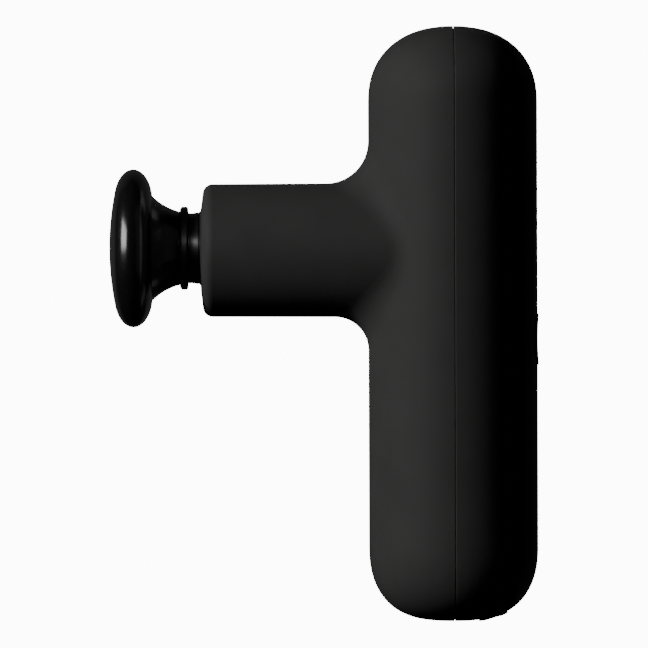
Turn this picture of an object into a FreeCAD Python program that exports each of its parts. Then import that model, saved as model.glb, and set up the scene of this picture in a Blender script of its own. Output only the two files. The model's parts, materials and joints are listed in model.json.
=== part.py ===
"""Compact massage gun with a round upright handle and a round neck at right angles to it.

Row frame, millimetres: +Z up along the handle, -X out of the neck towards the massage head, the origin
on the handle's axis in the middle of the grip below the neck. A flat outrunner motor above the neck
turns a crank disc; a connecting rod drives a tubular plunger along X in two guide bushes, and the
massage head plugs into the plunger. Two cells fill the handle, with the control board behind them.
"""

import FreeCAD, Part
import math
import os

V = FreeCAD.Vector
X = V(1, 0, 0)
Y = V(0, 1, 0)
Z = V(0, 0, 1)

# ---- Clearances and fits -------------------------------------------------------------------------
RUNNING = 0.03  # radial gap of a shaft in its bush
PRESSED = 0.001  # radial gap of a pin pressed into its hole
SLIP = 0.1  # gap between pieces that are dropped into place
SEAT = 0.02  # gap of a seated or screwed piece
REVEAL = 0.12  # shadow gap round the flush rear panel and the button
OPEN_PIVOT = 0.3  # axial gap at the crank pin, where the drive's closed loop is opened

# ---- Battery -------------------------------------------------------------------------------------
CELL_R = 9.15
CELL_LENGTH = 65.0
CELL_TERMINAL_R = 3.0
CELL_TERMINAL_H = 0.6
CRIMP_R = 1.0
CRIMP_DROP = 3.5
WRAP_T = 0.2
STRAP_T = 0.15
STRAP_HALF_W = 3.5
TAB_HALF_W = 2.5
STRAP_INSET = 1.5  # strap's end in front of the holder's rear edge
PEG_INSET = 4.25  # pegs in front of the holder's rear edge
HOLDER_TO_BOARD = 0.5
HOLDER_T = 2.3
PEG_R = 2.2
PEG_LENGTH = 6.0
BATTERY_PAD_T = 1.8
PAD_HALF_W = 8.0
PAD_INSET = 1.0  # holder's pegs to the pad
RIB_T = 1.6
RIB_INSET = 3.0

# ---- Handle and shells ---------------------------------------------------------------------------
WALL = 2.2
PACK_CLEARANCE = 0.61  # play of the wrapped cells across the handle's bore
BELOW_GRIP = 43.0  # grip centre to the lowest point
NECK_TO_TOP = 55.85  # plunger's axis to the highest point
TOP_DOME = 19.1  # height of the top dome
TOP_POWER = 2.26  # roundness of the top dome, 2 being an ellipse
BOTTOM_DOME = 18.6
BOTTOM_POWER_R = 2.9  # the bottom dome is fuller at its shoulder than at its crown
BOTTOM_POWER_Z = 2.26
SEAM_X = 0.18  # parting plane of the two shells
SEAM_GAP = 0.18
SEAM_DEPTH = 0.7
SEAM_CHAMFER = 0.26  # length and depth of the bevel on the rear shell's edge
SEAM_CHAMFER_DEPTH = 0.16
LIP_T = 0.9  # thickness and reach of the lip that keys the rear shell into the front one
LIP_REACH = 1.6
BATTERY_LIFT = 18.0  # lowest point to the cells
CRANK_ROOM = 11.15  # cells to the plunger's axis, where the crank turns

# ---- Neck ----------------------------------------------------------------------------------------
NECK_REACH = 63.55  # handle axis to the front of the neck
NECK_FRONT_R = 16.75
NECK_DRAFT = 0.25  # growth of the neck's radius towards the handle
NECK_DROP = 0.6  # middle of the neck's outside, below the plunger's axis
NECK_WALL = 2.25
NECK_CORNER = 2.5
NECK_CROWN = 0.8  # how far the front face rises from its rim to the flat round its opening
NECK_FRONT_WALL = 2.4
UPPER_FILLET = 10.6  # neck into handle, above and below
LOWER_FILLET = 8.4

# ---- Drive ---------------------------------------------------------------------------------------
STROKE = 7.0
CRANK_X = 4.0  # motor axis, behind the handle axis
ROD_LENGTH = 34.0
ROD_T = 6.0
ROD_WEB_W = 5.0
ROD_WEB_T = 3.0
ROD_RIB = 0.9
PIN_R = 2.0  # crank pin, wrist pin and motor shaft
PIN_HEAD_H = 1.0
CRANK_BEARING_R = 5.0
CRANK_BEARING_T = 4.0
BIG_END_WALL = 2.6
SMALL_END_WALL = 2.2
ROD_ROOM = 1.5  # small end to the plunger's tail bore
PLUNGER_WALL = 1.8
SOCKET_WALL = 2.0
PLUNGER_STANDOUT = 3.5  # plunger mouth in front of the neck
SOCKET_DEPTH = 18.0
SOCKET_WEB = 3.0
PLUNGER_TAIL = 3.5  # plunger behind its wrist pin
BUSH_LENGTH = 10.0
BUSH_WALL = 2.0
FRONT_BUSH_SETBACK = 6.2  # neck front to front bush
REAR_BUSH_SETBACK = 19.7
SLEEVE_SETBACK = 5.0  # neck front to guide sleeve
SLEEVE_WALL = 2.0
SLEEVE_FLANGE_T = 2.2
RETAINER_T = 1.5
DAMPER_LENGTH = 5.0
FRONT_DAMPER_SETBACK = 8.0
REAR_DAMPER_SETBACK = 41.5

# ---- Drive frame ---------------------------------------------------------------------------------
FRAME_T = 2.2
FRAME_CORNER = 2.5
FRAME_CLEARANCE = 0.42  # upright plate's edge to the shell's bore
FRAME_SCREW_INSET = 1.4  # screws to the plate's side edge
FRAME_EDGE = 2.8  # screws to the plate's lower edge
BRACE = 3.0
GROMMET_T = 0.8
GROMMET_R = 2.4
DECK_CLEARANCE = 2.6  # crank hub to the motor's deck
DECK_MARGIN = 0.6

# ---- Motor and crank -----------------------------------------------------------------------------
MOTOR_CLEARANCE = 1.55  # can to the shell's bore
CAN_WALL = 1.2
CAN_HEIGHT = 18.4
CAN_LIFT = 1.5  # gap between motor base and can, where the phase leads come out
CAN_WINDOW_R = 3.1
CAN_WINDOWS = 6
LID_T = 1.4
LID_HUB_WALL = 2.4
MOTOR_BASE_T = 1.8
BASE_MARGIN = 0.6  # motor base inside the can's radius
BEARING_R = 4.0
BEARING_T = 3.0
BEARING_WALL = 1.0
STATOR_H = 8.0
STATOR_LIFT = 4.0  # base to the core's underside
AIR_GAP = 0.7
SLOTS = 9
TOOTH_W = 2.2
SHOE_T = 1.2
COIL_T = 0.85
POLES = 12
MAGNET_T = 1.1
MAGNET_OVERHANG = 0.5
CRANK_CLEARANCE = 1.2  # crank to the upright plate, and to the rod
CRANK_DISC_T = 1.6
CRANK_HUB_WALL = 3.0
COUNTERWEIGHT_T = 4.2
COUNTERWEIGHT_SPAN = 150.0  # degrees
GRUB_R = 1.0

# ---- Massage head --------------------------------------------------------------------------------
HEAD_R = 19.95
HEAD_THICKNESS = 11.0  # crown of the dome to the back of the disc
DOME_R = 73.0
GATE_FLAT_R = 0.8  # the moulding gate's flat in the middle of the dome
RIM_HALF_T = 4.85  # half thickness of the disc's elliptical rim
RIM_HALF_H = 7.8  # radial half height of that ellipse
RIM_SETBACK = 6.1  # crown to the middle of the rim
TRUMPET_LENGTH = 6.87
TRUMPET_R = 9.25  # where the trumpet meets the flange
TRUMPET_SAG = 0.55
FLANGE_R = 10.5
FLANGE_T = 2.1
FLANGE_RECESS = 0.45  # hollow in the flange's back that hides the boot's front edge
RECESS_PLAY = 0.3
FLANGE_DRAFT = 0.35
STEM_CORE_R = 6.0
STEM_CORE_LENGTH = 9.0
STEM_PLAY = 0.15
STEM_LENGTH = 16.5
STEM_LEAD_IN = 1.5
O_RING_R = 0.75
O_RING_SETBACK = 4.5
O_RING_SPACING = 6.0

# ---- Dust boot -----------------------------------------------------------------------------------
CUFF_WALL = 1.3
CUFF_PLAY = 0.4  # cuff to the neck's opening
CUFF_ROUND = 0.15
SKIRT_LAP = 0.55  # skirt beyond the opening's edge
SKIRT_T = 0.5
BOOT_CREASE = 0.14  # depth and half width of the crease in front of the skirt
BOOT_ANCHOR = 1.7  # anchor flange beyond the opening's edge
BOOT_FLANGE_T = 1.0

# ---- Control board -------------------------------------------------------------------------------
BOARD_T = 1.6
BOARD_BEHIND_CELLS = 2.45
BOARD_CLEARANCE = 1.05  # board's edge to the shell's bore
BOARD_BELOW_TOP = 2.0  # board's upper edge below the cells' top
BOARD_ABOVE_BASE = 1.0  # board's shoulders above the cells' bottom
BOARD_CORNER = 1.5
BOARD_FOOT_HALF_W = 4.7
BOARD_FOOT_LIFT = 4.7  # board's lower edge above the charging socket's mouth
BOARD_SCREW_INSET = 2.4
BOARD_SCREW_EDGE = 3.5
STANDOFF_R = 2.3
SWITCH_SIZE = 6.0
SWITCH_H = 3.4
SWITCH_WELL = 1.2
ACTUATOR_R = 1.7
ACTUATOR_H = 1.1
ACTUATOR_ROOT = 0.6
LED_PITCH = 5.0
LED_COUNT = 4
LED_FIRST_Z = 0.0
LED_SIZE = 1.6
LED_H = 0.8
LIGHT_R = 1.0
USB_W = 8.94
USB_H = 3.26
USB_LENGTH = 7.35
USB_LIFT = 1.5  # socket's mouth above the lowest point
USB_SKIN = 0.3
USB_BACK = 1.2
PLUG_H = 5.0
PLUG_DROP = 1.5
PLUG_MIDDLE = 1.7  # wires' height above the board at their plugs
PLUG_MARGIN = 1.2
BATTERY_PLUG_Y = -4.6
MOTOR_PLUG_Y = 4.2

# ---- Rear panel and button -----------------------------------------------------------------------
PANEL_HALF_W = 11.5
PANEL_INSET = 5.0  # panel's lower end above the lowest point
PANEL_TOP_INSET = 6.0
PANEL_CORNER = 6.0
PANEL_T = 1.2
BUTTON_DROP = 10.0  # button below the board's upper edge
BUTTON_R = 6.5
BUTTON_STEM_R = 2.4
BUTTON_PROUD = 0.25
BUTTON_DISH_R = 34.0
BUTTON_DISH = 0.5
BUTTON_TRAVEL = 0.35
COLLAR_MARGIN = 1.95  # port collar round the socket
COLLAR_PROUD = 0.35
COLLAR_DEPTH = 0.9

# ---- Screws --------------------------------------------------------------------------------------
SHELL_SCREW_Y = 8.4
SHELL_SCREW_LIFT = 12.0  # lower shell screws above the lowest point
SHELL_SCREW_DROP = 10.0  # upper shell screws below the highest point
SHELL_SCREW_HEAD_X = 9.0
SHELL_SCREW_LENGTH = 15.0
SHELL_SCREW_R = 1.15
SHELL_HEAD_R = 2.1
SHELL_HEAD_H = 1.6
BOSS_WALL = 1.65
HEAD_WALL = 1.0
SMALL_SCREW_R = 0.9
SMALL_HEAD_R = 1.7
SMALL_HEAD_H = 1.2
FRAME_SCREW_BITE = 3.0  # thread in the shell
SLEEVE_SCREW_BITE = 3.4
BOARD_SCREW_BITE = 3.0

# ---- Wires ---------------------------------------------------------------------------------------
WIRE_R = 0.55
LEAD_START_R = 8.6
LEAD_GAP = 1.5  # motor leads outside the can
LEAD_ANGLE = 50.0
LEAD_STEP = 7.0
LEAD_DROP = 12.5  # length over which the motor leads gather above their plug
LEAD_SPACING = 2.0
LEAD_CREST = 4.6  # battery leads above their tabs

# ---- Places that follow from the sizes: battery and handle ---------------------------------------
BORE_R = 2 * CELL_R + 2 * SEAT + WRAP_T + PACK_CLEARANCE
HANDLE_R = BORE_R + WALL
BOTTOM_Z = -BELOW_GRIP
CELL_Y = CELL_R + SEAT
CELL_BASE_Z = BOTTOM_Z + BATTERY_LIFT
CELL_TOP_Z = CELL_BASE_Z + CELL_LENGTH
NECK_Z = CELL_TOP_Z + CRANK_ROOM
TOP_Z = NECK_Z + NECK_TO_TOP
FACE_X = -NECK_REACH
NECK_ROOT_R = NECK_FRONT_R + NECK_DRAFT
NECK_BORE_R = NECK_FRONT_R - NECK_WALL
PACK_FACE_X = -CELL_R - 2 * SEAT - WRAP_T  # front of the wrapped battery
HOLDER_FRONT_X = SLIP / 2 - CELL_R
HOLDER_REAR_X = CELL_R + BOARD_BEHIND_CELLS - HOLDER_TO_BOARD
HOLDER_R = BORE_R - PACK_CLEARANCE + SLIP / 2
TAB_END_X = HOLDER_REAR_X - STRAP_INSET
PEG_X = HOLDER_REAR_X - PEG_INSET
PAD_LOW_Z = CELL_BASE_Z + PEG_LENGTH + PAD_INSET
PAD_HIGH_Z = CELL_TOP_Z - 2 * PEG_LENGTH
RIB_Y = PAD_HALF_W - RIB_INSET


def bore_chord(x):
    """Half width of the handle's bore at a distance x from its axis."""
    return math.sqrt(BORE_R**2 - x**2)


# ---- Places that follow from the sizes: drive ----------------------------------------------------
SMALL_END_R = PIN_R + SMALL_END_WALL
BIG_END_R = CRANK_BEARING_R + BIG_END_WALL
TAIL_BORE_R = SMALL_END_R + ROD_ROOM
PLUNGER_R = TAIL_BORE_R + PLUNGER_WALL
SOCKET_R = PLUNGER_R - SOCKET_WALL
PLUNGER_FRONT_X = FACE_X - PLUNGER_STANDOUT
CRANK_R = STROKE / 2
CRANK_PIN_X = CRANK_X + CRANK_R
WRIST_X = CRANK_PIN_X - ROD_LENGTH
PLUNGER_REAR_X = WRIST_X + PLUNGER_TAIL
BUSH_R = PLUNGER_R + BUSH_WALL
SLEEVE_R = BUSH_R + SLEEVE_WALL
SLEEVE_FRONT_X = FACE_X + SLEEVE_SETBACK
SLEEVE_FLANGE_R = NECK_BORE_R - DECK_MARGIN
FRAME_X = HOLDER_FRONT_X - SLIP / 2 - SMALL_HEAD_H - SLIP / 2  # rear face of the upright plate
PLATE_X = FRAME_X - FRAME_T
FRAME_HALF_W = bore_chord(PLATE_X) - FRAME_CLEARANCE
FRAME_SCREW_Y = FRAME_HALF_W - FRAME_SCREW_INSET
FRAME_SCREW_Z = math.sqrt((NECK_BORE_R + GROMMET_R + SLIP) ** 2 - FRAME_SCREW_Y**2)
FRAME_DROP = FRAME_SCREW_Z + FRAME_EDGE
FRAME_SCREW_LENGTH = FRAME_T + GROMMET_T + FRAME_SCREW_BITE
SLEEVE_SCREW_LENGTH = FRAME_T + SLEEVE_SCREW_BITE
CRANK_DISC_R = CRANK_X - FRAME_X - CRANK_CLEARANCE
CRANK_HUB_R = PIN_R + CRANK_HUB_WALL
CRANK_HUB_H = CRANK_DISC_T + COUNTERWEIGHT_T + HEAD_WALL
CRANK_LIFT = ROD_T / 2 + CRANK_CLEARANCE  # underside of the crank disc above the plunger's axis
CRANK_Z = NECK_Z + CRANK_LIFT
DECK_Z = CRANK_Z + CRANK_HUB_H + DECK_CLEARANCE
BASE_Z = DECK_Z + FRAME_T
MOTOR_R = BORE_R - CRANK_X - MOTOR_CLEARANCE
DECK_R = MOTOR_R + DECK_MARGIN
MOTOR_BASE_R = MOTOR_R - BASE_MARGIN
MOTOR_TUBE_R = BEARING_R + BEARING_WALL
MOTOR_SCREW_RING = (MOTOR_TUBE_R + MOTOR_BASE_R) / 2
CAN_Z = BASE_Z + MOTOR_BASE_T + CAN_LIFT
CAN_TOP_Z = CAN_Z + CAN_HEIGHT
CAN_BORE_R = MOTOR_R - CAN_WALL
STATOR_R = CAN_BORE_R - MAGNET_T - AIR_GAP
LID_HUB_R = PIN_R + LID_HUB_WALL
CORE_Z = BASE_Z + STATOR_LIFT
TUBE_TOP_Z = CORE_Z + STATOR_H + BEARING_T
HALF_SLOT = math.tan(math.pi / SLOTS) * 0.98
LEAD_RING = MOTOR_R + LEAD_GAP

# ---- Places that follow from the sizes: head and boot --------------------------------------------
FLANGE_SEAT_X = PLUNGER_FRONT_X - SLIP
FLANGE_X = FLANGE_SEAT_X + FLANGE_RECESS - FLANGE_T
STEM_R = SOCKET_R - STEM_PLAY
O_RING_TRACK = SOCKET_R - O_RING_R - SEAT
BOOT_BORE_R = PLUNGER_R + SLIP
BOOT_R = BOOT_BORE_R + CUFF_WALL
NECK_OPENING_R = BOOT_R + CUFF_PLAY
SKIRT_R = NECK_OPENING_R + SKIRT_LAP
BOOT_FLANGE_R = NECK_OPENING_R + BOOT_ANCHOR

# ---- Places that follow from the sizes: board, panel and screws ----------------------------------
BOARD_X = CELL_R + BOARD_BEHIND_CELLS  # front face of the board
BOARD_REAR_X = BOARD_X + BOARD_T
BOARD_HALF_W = bore_chord(BOARD_REAR_X) - BOARD_CLEARANCE
BOARD_TOP_Z = CELL_TOP_Z - BOARD_BELOW_TOP
BOARD_STEP_Z = CELL_BASE_Z + BOARD_ABOVE_BASE
USB_MOUTH_Z = BOTTOM_Z + USB_LIFT
USB_X = BOARD_X - USB_H / 2
BOARD_FOOT_Z = USB_MOUTH_Z + BOARD_FOOT_LIFT
BOARD_SCREW_Y = BOARD_HALF_W - BOARD_SCREW_INSET
BOARD_SCREW_ZS = (BOARD_STEP_Z + BOARD_SCREW_EDGE, BOARD_TOP_Z - BOARD_SCREW_EDGE)
BOARD_SCREW_LENGTH = BOARD_T + BOARD_SCREW_BITE
PLUG_TOP_Z = BOARD_TOP_Z - PLUG_DROP
SWITCH_TOP_X = BOARD_REAR_X + SWITCH_H
BUTTON_Z = BOARD_TOP_Z - BUTTON_DROP
CAP_X = HANDLE_R - PANEL_T + SLIP  # underside of the button's cap
PANEL_BOTTOM_Z = BOTTOM_Z + PANEL_INSET
PANEL_TOP_Z = TOP_Z - PANEL_TOP_INSET
COLLAR_HALF_L = USB_W / 2 + COLLAR_MARGIN
COLLAR_HALF_W = USB_H / 2 + COLLAR_MARGIN
SHELL_SCREW_ZS = (BOTTOM_Z + SHELL_SCREW_LIFT, TOP_Z - SHELL_SCREW_DROP)
FRONT_BOSS_R = SHELL_SCREW_R + BOSS_WALL
REAR_BOSS_R = SHELL_HEAD_R + HEAD_WALL + SLIP


# ---- Building blocks -----------------------------------------------------------------------------
def cylinder(radius, length, base, axis=Z):
    return Part.makeCylinder(radius, length, base, axis)


def ring(outer, inner, length, base, axis=Z):
    return cylinder(outer, length, base, axis).cut(cylinder(inner, length, base, axis))


def block(low, high):
    size = [b - a for a, b in zip(low, high)]
    return Part.makeBox(size[0], size[1], size[2], V(*low))


def fuse(shapes):
    joined = shapes[0].multiFuse(shapes[1:])
    return joined.removeSplitter()


def arc(start, middle, end):
    return Part.Arc(start, middle, end).toShape()


def turned_on_neck(corners):
    """Solid of revolution on the plunger's axis, from (x, radius) corners."""
    edges = []
    for a, b in zip(corners, corners[1:] + corners[:1]):
        edges.append(Part.makeLine(V(a[0], 0, a[1]), V(b[0], 0, b[1])))
    solid = Part.Face(Part.Wire(edges)).revolve(V(0, 0, 0), X, 360)
    solid.translate(V(0, 0, NECK_Z))
    return solid


def rounded_prism(x0, x1, half_y, z0, z1, corner):
    """Prism along X whose section is a rectangle with rounded corners."""
    solid = block((x0, -half_y, z0), (x1, half_y, z1))
    along = [e for e in solid.Edges if abs(e.BoundBox.XLength - (x1 - x0)) < 1e-6]
    return solid.makeFillet(corner, along)


def slot_prism(centre_x, half_y, half_x, z0, z1):
    """Prism along Z whose section is a slot that is long in Y."""
    middle = block((centre_x - half_x, half_x - half_y, z0), (centre_x + half_x, half_y - half_x, z1))
    ends = [
        cylinder(half_x, z1 - z0, V(centre_x, side * (half_y - half_x), z0)) for side in (-1, 1)
    ]
    return fuse([middle] + ends)


def screw(tip_length, shank_r, head_r, head_h, seat, axis):
    """Pan-head screw whose head rests on seat and whose shank runs along axis."""
    head = cylinder(head_r, head_h, seat - axis * head_h, axis)
    head = head.makeFillet(head_h * 0.35, [head.Edges[0] if axis_end(head, seat, axis) else head.Edges[2]])
    shank = cylinder(shank_r, tip_length, seat, axis)
    recess = cylinder(head_r * 0.42, head_h * 0.5, seat - axis * head_h, axis)
    return head.fuse(shank).cut(recess)


def axis_end(head, seat, axis):
    """True where the head's first circle is its outer one."""
    return (head.Edges[0].CenterOfMass - seat).dot(axis) < -1e-6


def wire(points, radius):
    """Round wire along straight runs joined by tangent arcs, each as large as its two runs allow."""
    edges = []
    start = points[0]
    for before, corner, after in zip(points, points[1:], points[2:]):
        into = (corner - before).normalize()
        out = (after - corner).normalize()
        turn = math.acos(max(-1.0, min(1.0, into.dot(out))))
        reach = 0.45 * min((corner - before).Length, (after - corner).Length)
        bend = reach / math.tan(turn / 2)
        print("lead bend radius", round(bend, 2))
        first = corner - into * reach
        last = corner + out * reach
        inward = (out - into).normalize()
        middle = corner + inward * (bend / math.cos(turn / 2) - bend)
        edges.append(Part.makeLine(start, first))
        edges.append(arc(first, middle, last))
        start = last
    edges.append(Part.makeLine(start, points[-1]))
    path = Part.Wire(edges)
    along = (points[1] - points[0]).normalize()
    section = Part.Wire([Part.makeCircle(radius, points[0], along)])
    return path.makePipeShell([section], True, False)


# ---- Shell forms ---------------------------------------------------------------------------------
def dome_curve(radius, height, power_r, power_z, base_z, up):
    """Half outline of a dome from its shoulder to its crown: |r/R|^p + |z/H|^q = 1."""
    steps = 12
    points = []
    for i in range(steps + 1):
        turn = math.pi / 2 * i / steps
        r = radius * math.cos(turn) ** (2 / power_r) if i < steps else 0.0
        z = height * math.sin(turn) ** (2 / power_z)
        points.append(V(r, 0, base_z + up * z))
    curve = Part.BSplineCurve()
    curve.interpolate(Points=points, InitialTangent=V(0, 0, up), FinalTangent=V(-1, 0, 0))
    return curve.toShape(), points[0], points[-1]


def handle_outline(inset):
    """Half of the handle's upright outline, moved in by inset, and the ends of its core."""
    radius = HANDLE_R - inset
    top, top_shoulder, top_crown = dome_curve(
        radius, TOP_DOME - inset, TOP_POWER, TOP_POWER, TOP_Z - TOP_DOME, 1
    )
    bottom, bottom_shoulder, bottom_crown = dome_curve(
        radius, BOTTOM_DOME - inset, BOTTOM_POWER_R, BOTTOM_POWER_Z, BOTTOM_Z + BOTTOM_DOME, -1
    )
    side = Part.makeLine(bottom_shoulder, top_shoulder)
    return [side, top, bottom], Part.makeLine(top_crown, bottom_crown)


def handle_form(inset):
    """The handle's outer form, moved in by inset on every side."""
    edges, core = handle_outline(inset)
    outline = Part.Wire(Part.__sortEdges__(edges + [core]))
    return Part.Face(outline).revolve(V(0, 0, 0), Z, 360)


def neck_form():
    """The neck as a solid, from the handle's axis to its crowned front face."""
    rim_x = FACE_X + NECK_CROWN
    solid = turned_on_neck(
        [
            (0, 0),
            (0, NECK_ROOT_R),
            (rim_x, NECK_FRONT_R),
            (FACE_X, SKIRT_R + NECK_DROP),
            (FACE_X, 0),
        ]
    )
    solid.translate(V(0, 0, -NECK_DROP))
    rim = [
        e
        for e in solid.Edges
        if abs(e.BoundBox.XMin - rim_x) < 1e-3 and e.BoundBox.ZLength > 2 * NECK_BORE_R
    ]
    return solid.makeFillet(NECK_CORNER, rim)


def outer_form():
    """Handle and neck blended together, with a larger fillet above the neck than below it."""
    far = 2 * (TOP_Z - BOTTOM_Z)
    side = block((-far, 0, -far), (far, far, far))
    half = handle_form(0).common(side).fuse(neck_form().common(side)).removeSplitter()
    joint = []
    for e in half.Edges:
        box = e.BoundBox
        near_root = box.XMin > -HANDLE_R - 0.1 and box.XMax < 0
        spans_neck = box.ZLength > 1.9 * NECK_FRONT_R and box.YMax > NECK_FRONT_R / 2
        if near_root and spans_neck and box.ZMax < NECK_Z + NECK_ROOT_R + 1:
            joint.append(e)
    starts_high = joint[0].Vertexes[0].Point.z > NECK_Z
    radii = (UPPER_FILLET, LOWER_FILLET) if starts_high else (LOWER_FILLET, UPPER_FILLET)
    half = half.makeFillet(radii[0], radii[1], joint)
    return half.fuse(half.mirror(V(0, 0, 0), Y)).removeSplitter()


def cavity_form():
    neck_bore = cylinder(NECK_BORE_R, NECK_REACH - NECK_FRONT_WALL, V(FACE_X + NECK_FRONT_WALL, 0, NECK_Z), X)
    return handle_form(WALL).fuse(neck_bore)


def seam_slab(x0, x1):
    return block((x0, -HANDLE_R * 2, BOTTOM_Z - 5), (x1, HANDLE_R * 2, TOP_Z + 5))


def outline_across(inset, x):
    """The handle's whole outline, moved in by inset, as a wire in the upright plane at x."""
    edges, _ = handle_outline(inset)
    half = Part.Wire(Part.__sortEdges__(edges))
    half.rotate(V(0, 0, 0), Z, 90)
    half.translate(V(x, 0, 0))
    return Part.Wire(Part.__sortEdges__(half.Edges + half.mirror(V(0, 0, 0), Y).Edges))


def seam_groove():
    """The fine gap between the two shells, and the bevel of the rear shell's edge."""
    start = SEAM_X + SEAM_GAP / 2
    gap = seam_slab(SEAM_X - SEAM_GAP / 2, start).cut(handle_form(SEAM_DEPTH))
    beyond = 0.2  # share by which the bevel's cutter runs out past the skin
    inner = outline_across(SEAM_CHAMFER_DEPTH, start)
    outer = outline_across(-beyond * SEAM_CHAMFER_DEPTH, start + (1 + beyond) * SEAM_CHAMFER)
    kept = Part.makeLoft([inner, outer], True, True)
    return gap.fuse(seam_slab(start, start + (1 + beyond / 2) * SEAM_CHAMFER).cut(kept))


def shell_screw_places():
    return [(side * SHELL_SCREW_Y, z) for z in SHELL_SCREW_ZS for side in (-1, 1)]


def frame_screw_places():
    return [
        (side * FRAME_SCREW_Y, NECK_Z + level * FRAME_SCREW_Z) for side in (-1, 1) for level in (-1, 1)
    ]


def board_screw_places():
    return [(side * BOARD_SCREW_Y, z) for z in BOARD_SCREW_ZS for side in (-1, 1)]


def lip_band(outer_inset, inner_inset, x0, x1):
    return handle_form(outer_inset).cut(handle_form(inner_inset)).common(seam_slab(x0, x1))


def front_shell():
    far = 2 * NECK_REACH
    skin = OUTER.cut(CAVITY)
    adds = []
    for y, z in shell_screw_places():
        adds.append(cylinder(FRONT_BOSS_R, HANDLE_R * 2, V(SEAM_X - HANDLE_R * 2, y, z), X))
    for y, z in frame_screw_places():
        boss_x = PLATE_X - GROMMET_T
        adds.append(cylinder(GROMMET_R, HANDLE_R, V(boss_x - HANDLE_R, y, z), X))
    rib_x = PACK_FACE_X - SEAT - BATTERY_PAD_T - SEAT
    for side in (-1, 1):
        low = (-HANDLE_R, side * RIB_Y - RIB_T / 2, PAD_LOW_Z)
        high = (rib_x, side * RIB_Y + RIB_T / 2, PAD_HIGH_Z)
        adds.append(block(low, high))
    inside = handle_form(SEAM_DEPTH + 0.3)
    grown = fuse([skin] + [a.common(inside) for a in adds])
    grown = grown.cut(cylinder(NECK_BORE_R, far, V(FACE_X + NECK_FRONT_WALL, 0, NECK_Z), X))
    grown = grown.cut(cylinder(NECK_OPENING_R, far, V(FACE_X - 5, 0, NECK_Z), X))
    shell = grown.common(seam_slab(-far, SEAM_X))
    rebate = lip_band(WALL - LIP_T - SLIP, WALL + 1, SEAM_X - LIP_REACH - SLIP, SEAM_X)
    boss_guard = [
        cylinder(FRONT_BOSS_R, HANDLE_R, V(SEAM_X - HANDLE_R, y, z), X) for y, z in shell_screw_places()
    ]
    shell = shell.cut(rebate.cut(boss_guard[0].multiFuse(boss_guard[1:])))
    for y, z in shell_screw_places():
        depth = SHELL_SCREW_LENGTH - SHELL_SCREW_HEAD_X + SEAM_X + 1
        shell = shell.cut(cylinder(SHELL_SCREW_R + SEAT, depth, V(SEAM_X - depth, y, z), X))
    for y, z in frame_screw_places():
        depth = FRAME_SCREW_BITE + SLIP
        mouth = V(PLATE_X - GROMMET_T - depth, y, z)
        shell = shell.cut(cylinder(SMALL_SCREW_R + SEAT, depth + GROMMET_T, mouth, X))
    return shell.cut(seam_groove())


def panel_prism(grow):
    return rounded_prism(
        0.3 * HANDLE_R,
        HANDLE_R * 1.5,
        PANEL_HALF_W + grow,
        PANEL_BOTTOM_Z - grow,
        PANEL_TOP_Z + grow,
        PANEL_CORNER + grow,
    )


def usb_window(grow, z0, z1):
    return slot_prism(USB_X, USB_W / 2 + grow, USB_H / 2 + grow, z0, z1)


def light_places():
    return [LED_FIRST_Z - LED_PITCH * i for i in range(LED_COUNT)]


def rear_shell():
    skin = handle_form(0).cut(handle_form(WALL)).common(seam_slab(SEAM_X, HANDLE_R * 2))
    inside = handle_form(WALL / 2)
    adds = []
    for y, z in shell_screw_places():
        adds.append(cylinder(REAR_BOSS_R, HANDLE_R, V(SEAM_X, y, z), X))
    for y, z in board_screw_places():
        adds.append(cylinder(STANDOFF_R, HANDLE_R, V(BOARD_REAR_X, y, z), X))
    shell = fuse([skin] + [a.common(inside) for a in adds])
    shell = shell.fuse(lip_band(WALL - LIP_T, WALL, SEAM_X - LIP_REACH, SEAM_X)).removeSplitter()
    for y, z in shell_screw_places():
        keep_clear = cylinder(FRONT_BOSS_R + SLIP, LIP_REACH + 1, V(SEAM_X - LIP_REACH - 1, y, z), X)
        shell = shell.cut(keep_clear)
        shell = shell.cut(cylinder(SHELL_SCREW_R + SLIP, HANDLE_R * 2, V(0, y, z), X))
        shell = shell.cut(cylinder(SHELL_HEAD_R + SLIP, HANDLE_R, V(SHELL_SCREW_HEAD_X, y, z), X))
    for y, z in board_screw_places():
        shell = shell.cut(cylinder(SMALL_SCREW_R + SEAT, BOARD_SCREW_LENGTH, V(BOARD_X, y, z), X))
    shell = shell.cut(handle_form(-5).cut(handle_form(PANEL_T + SEAT)).common(panel_prism(REVEAL)))
    shell = shell.cut(cylinder(BUTTON_STEM_R + SLIP, HANDLE_R, V(SWITCH_TOP_X, 0, BUTTON_Z), X))
    well_x = CAP_X - BUTTON_TRAVEL - SLIP
    shell = shell.cut(cylinder(BUTTON_R + REVEAL, HANDLE_R, V(well_x, 0, BUTTON_Z), X))
    for z in light_places():
        shell = shell.cut(cylinder(LIGHT_R + SEAT, HANDLE_R, V(BOARD_REAR_X, 0, z), X))
    shell = shell.cut(usb_window(SLIP, BOTTOM_Z - 5, USB_MOUTH_Z + USB_LENGTH))
    collar_seat = slot_prism(USB_X, COLLAR_HALF_L + SLIP, COLLAR_HALF_W + SLIP, BOTTOM_Z - 5, 0)
    shell = shell.cut(handle_form(-5).cut(handle_form(COLLAR_DEPTH)).common(collar_seat))
    return shell.cut(seam_groove())


def spine_cover():
    cover = handle_form(0).cut(handle_form(PANEL_T)).common(panel_prism(0))
    cover = cover.cut(cylinder(BUTTON_R + REVEAL, HANDLE_R * 2, V(0, 0, BUTTON_Z), X))
    for z in light_places():
        cover = cover.cut(cylinder(LIGHT_R + SEAT, HANDLE_R * 2, V(0, 0, z), X))
    return cover


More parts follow.
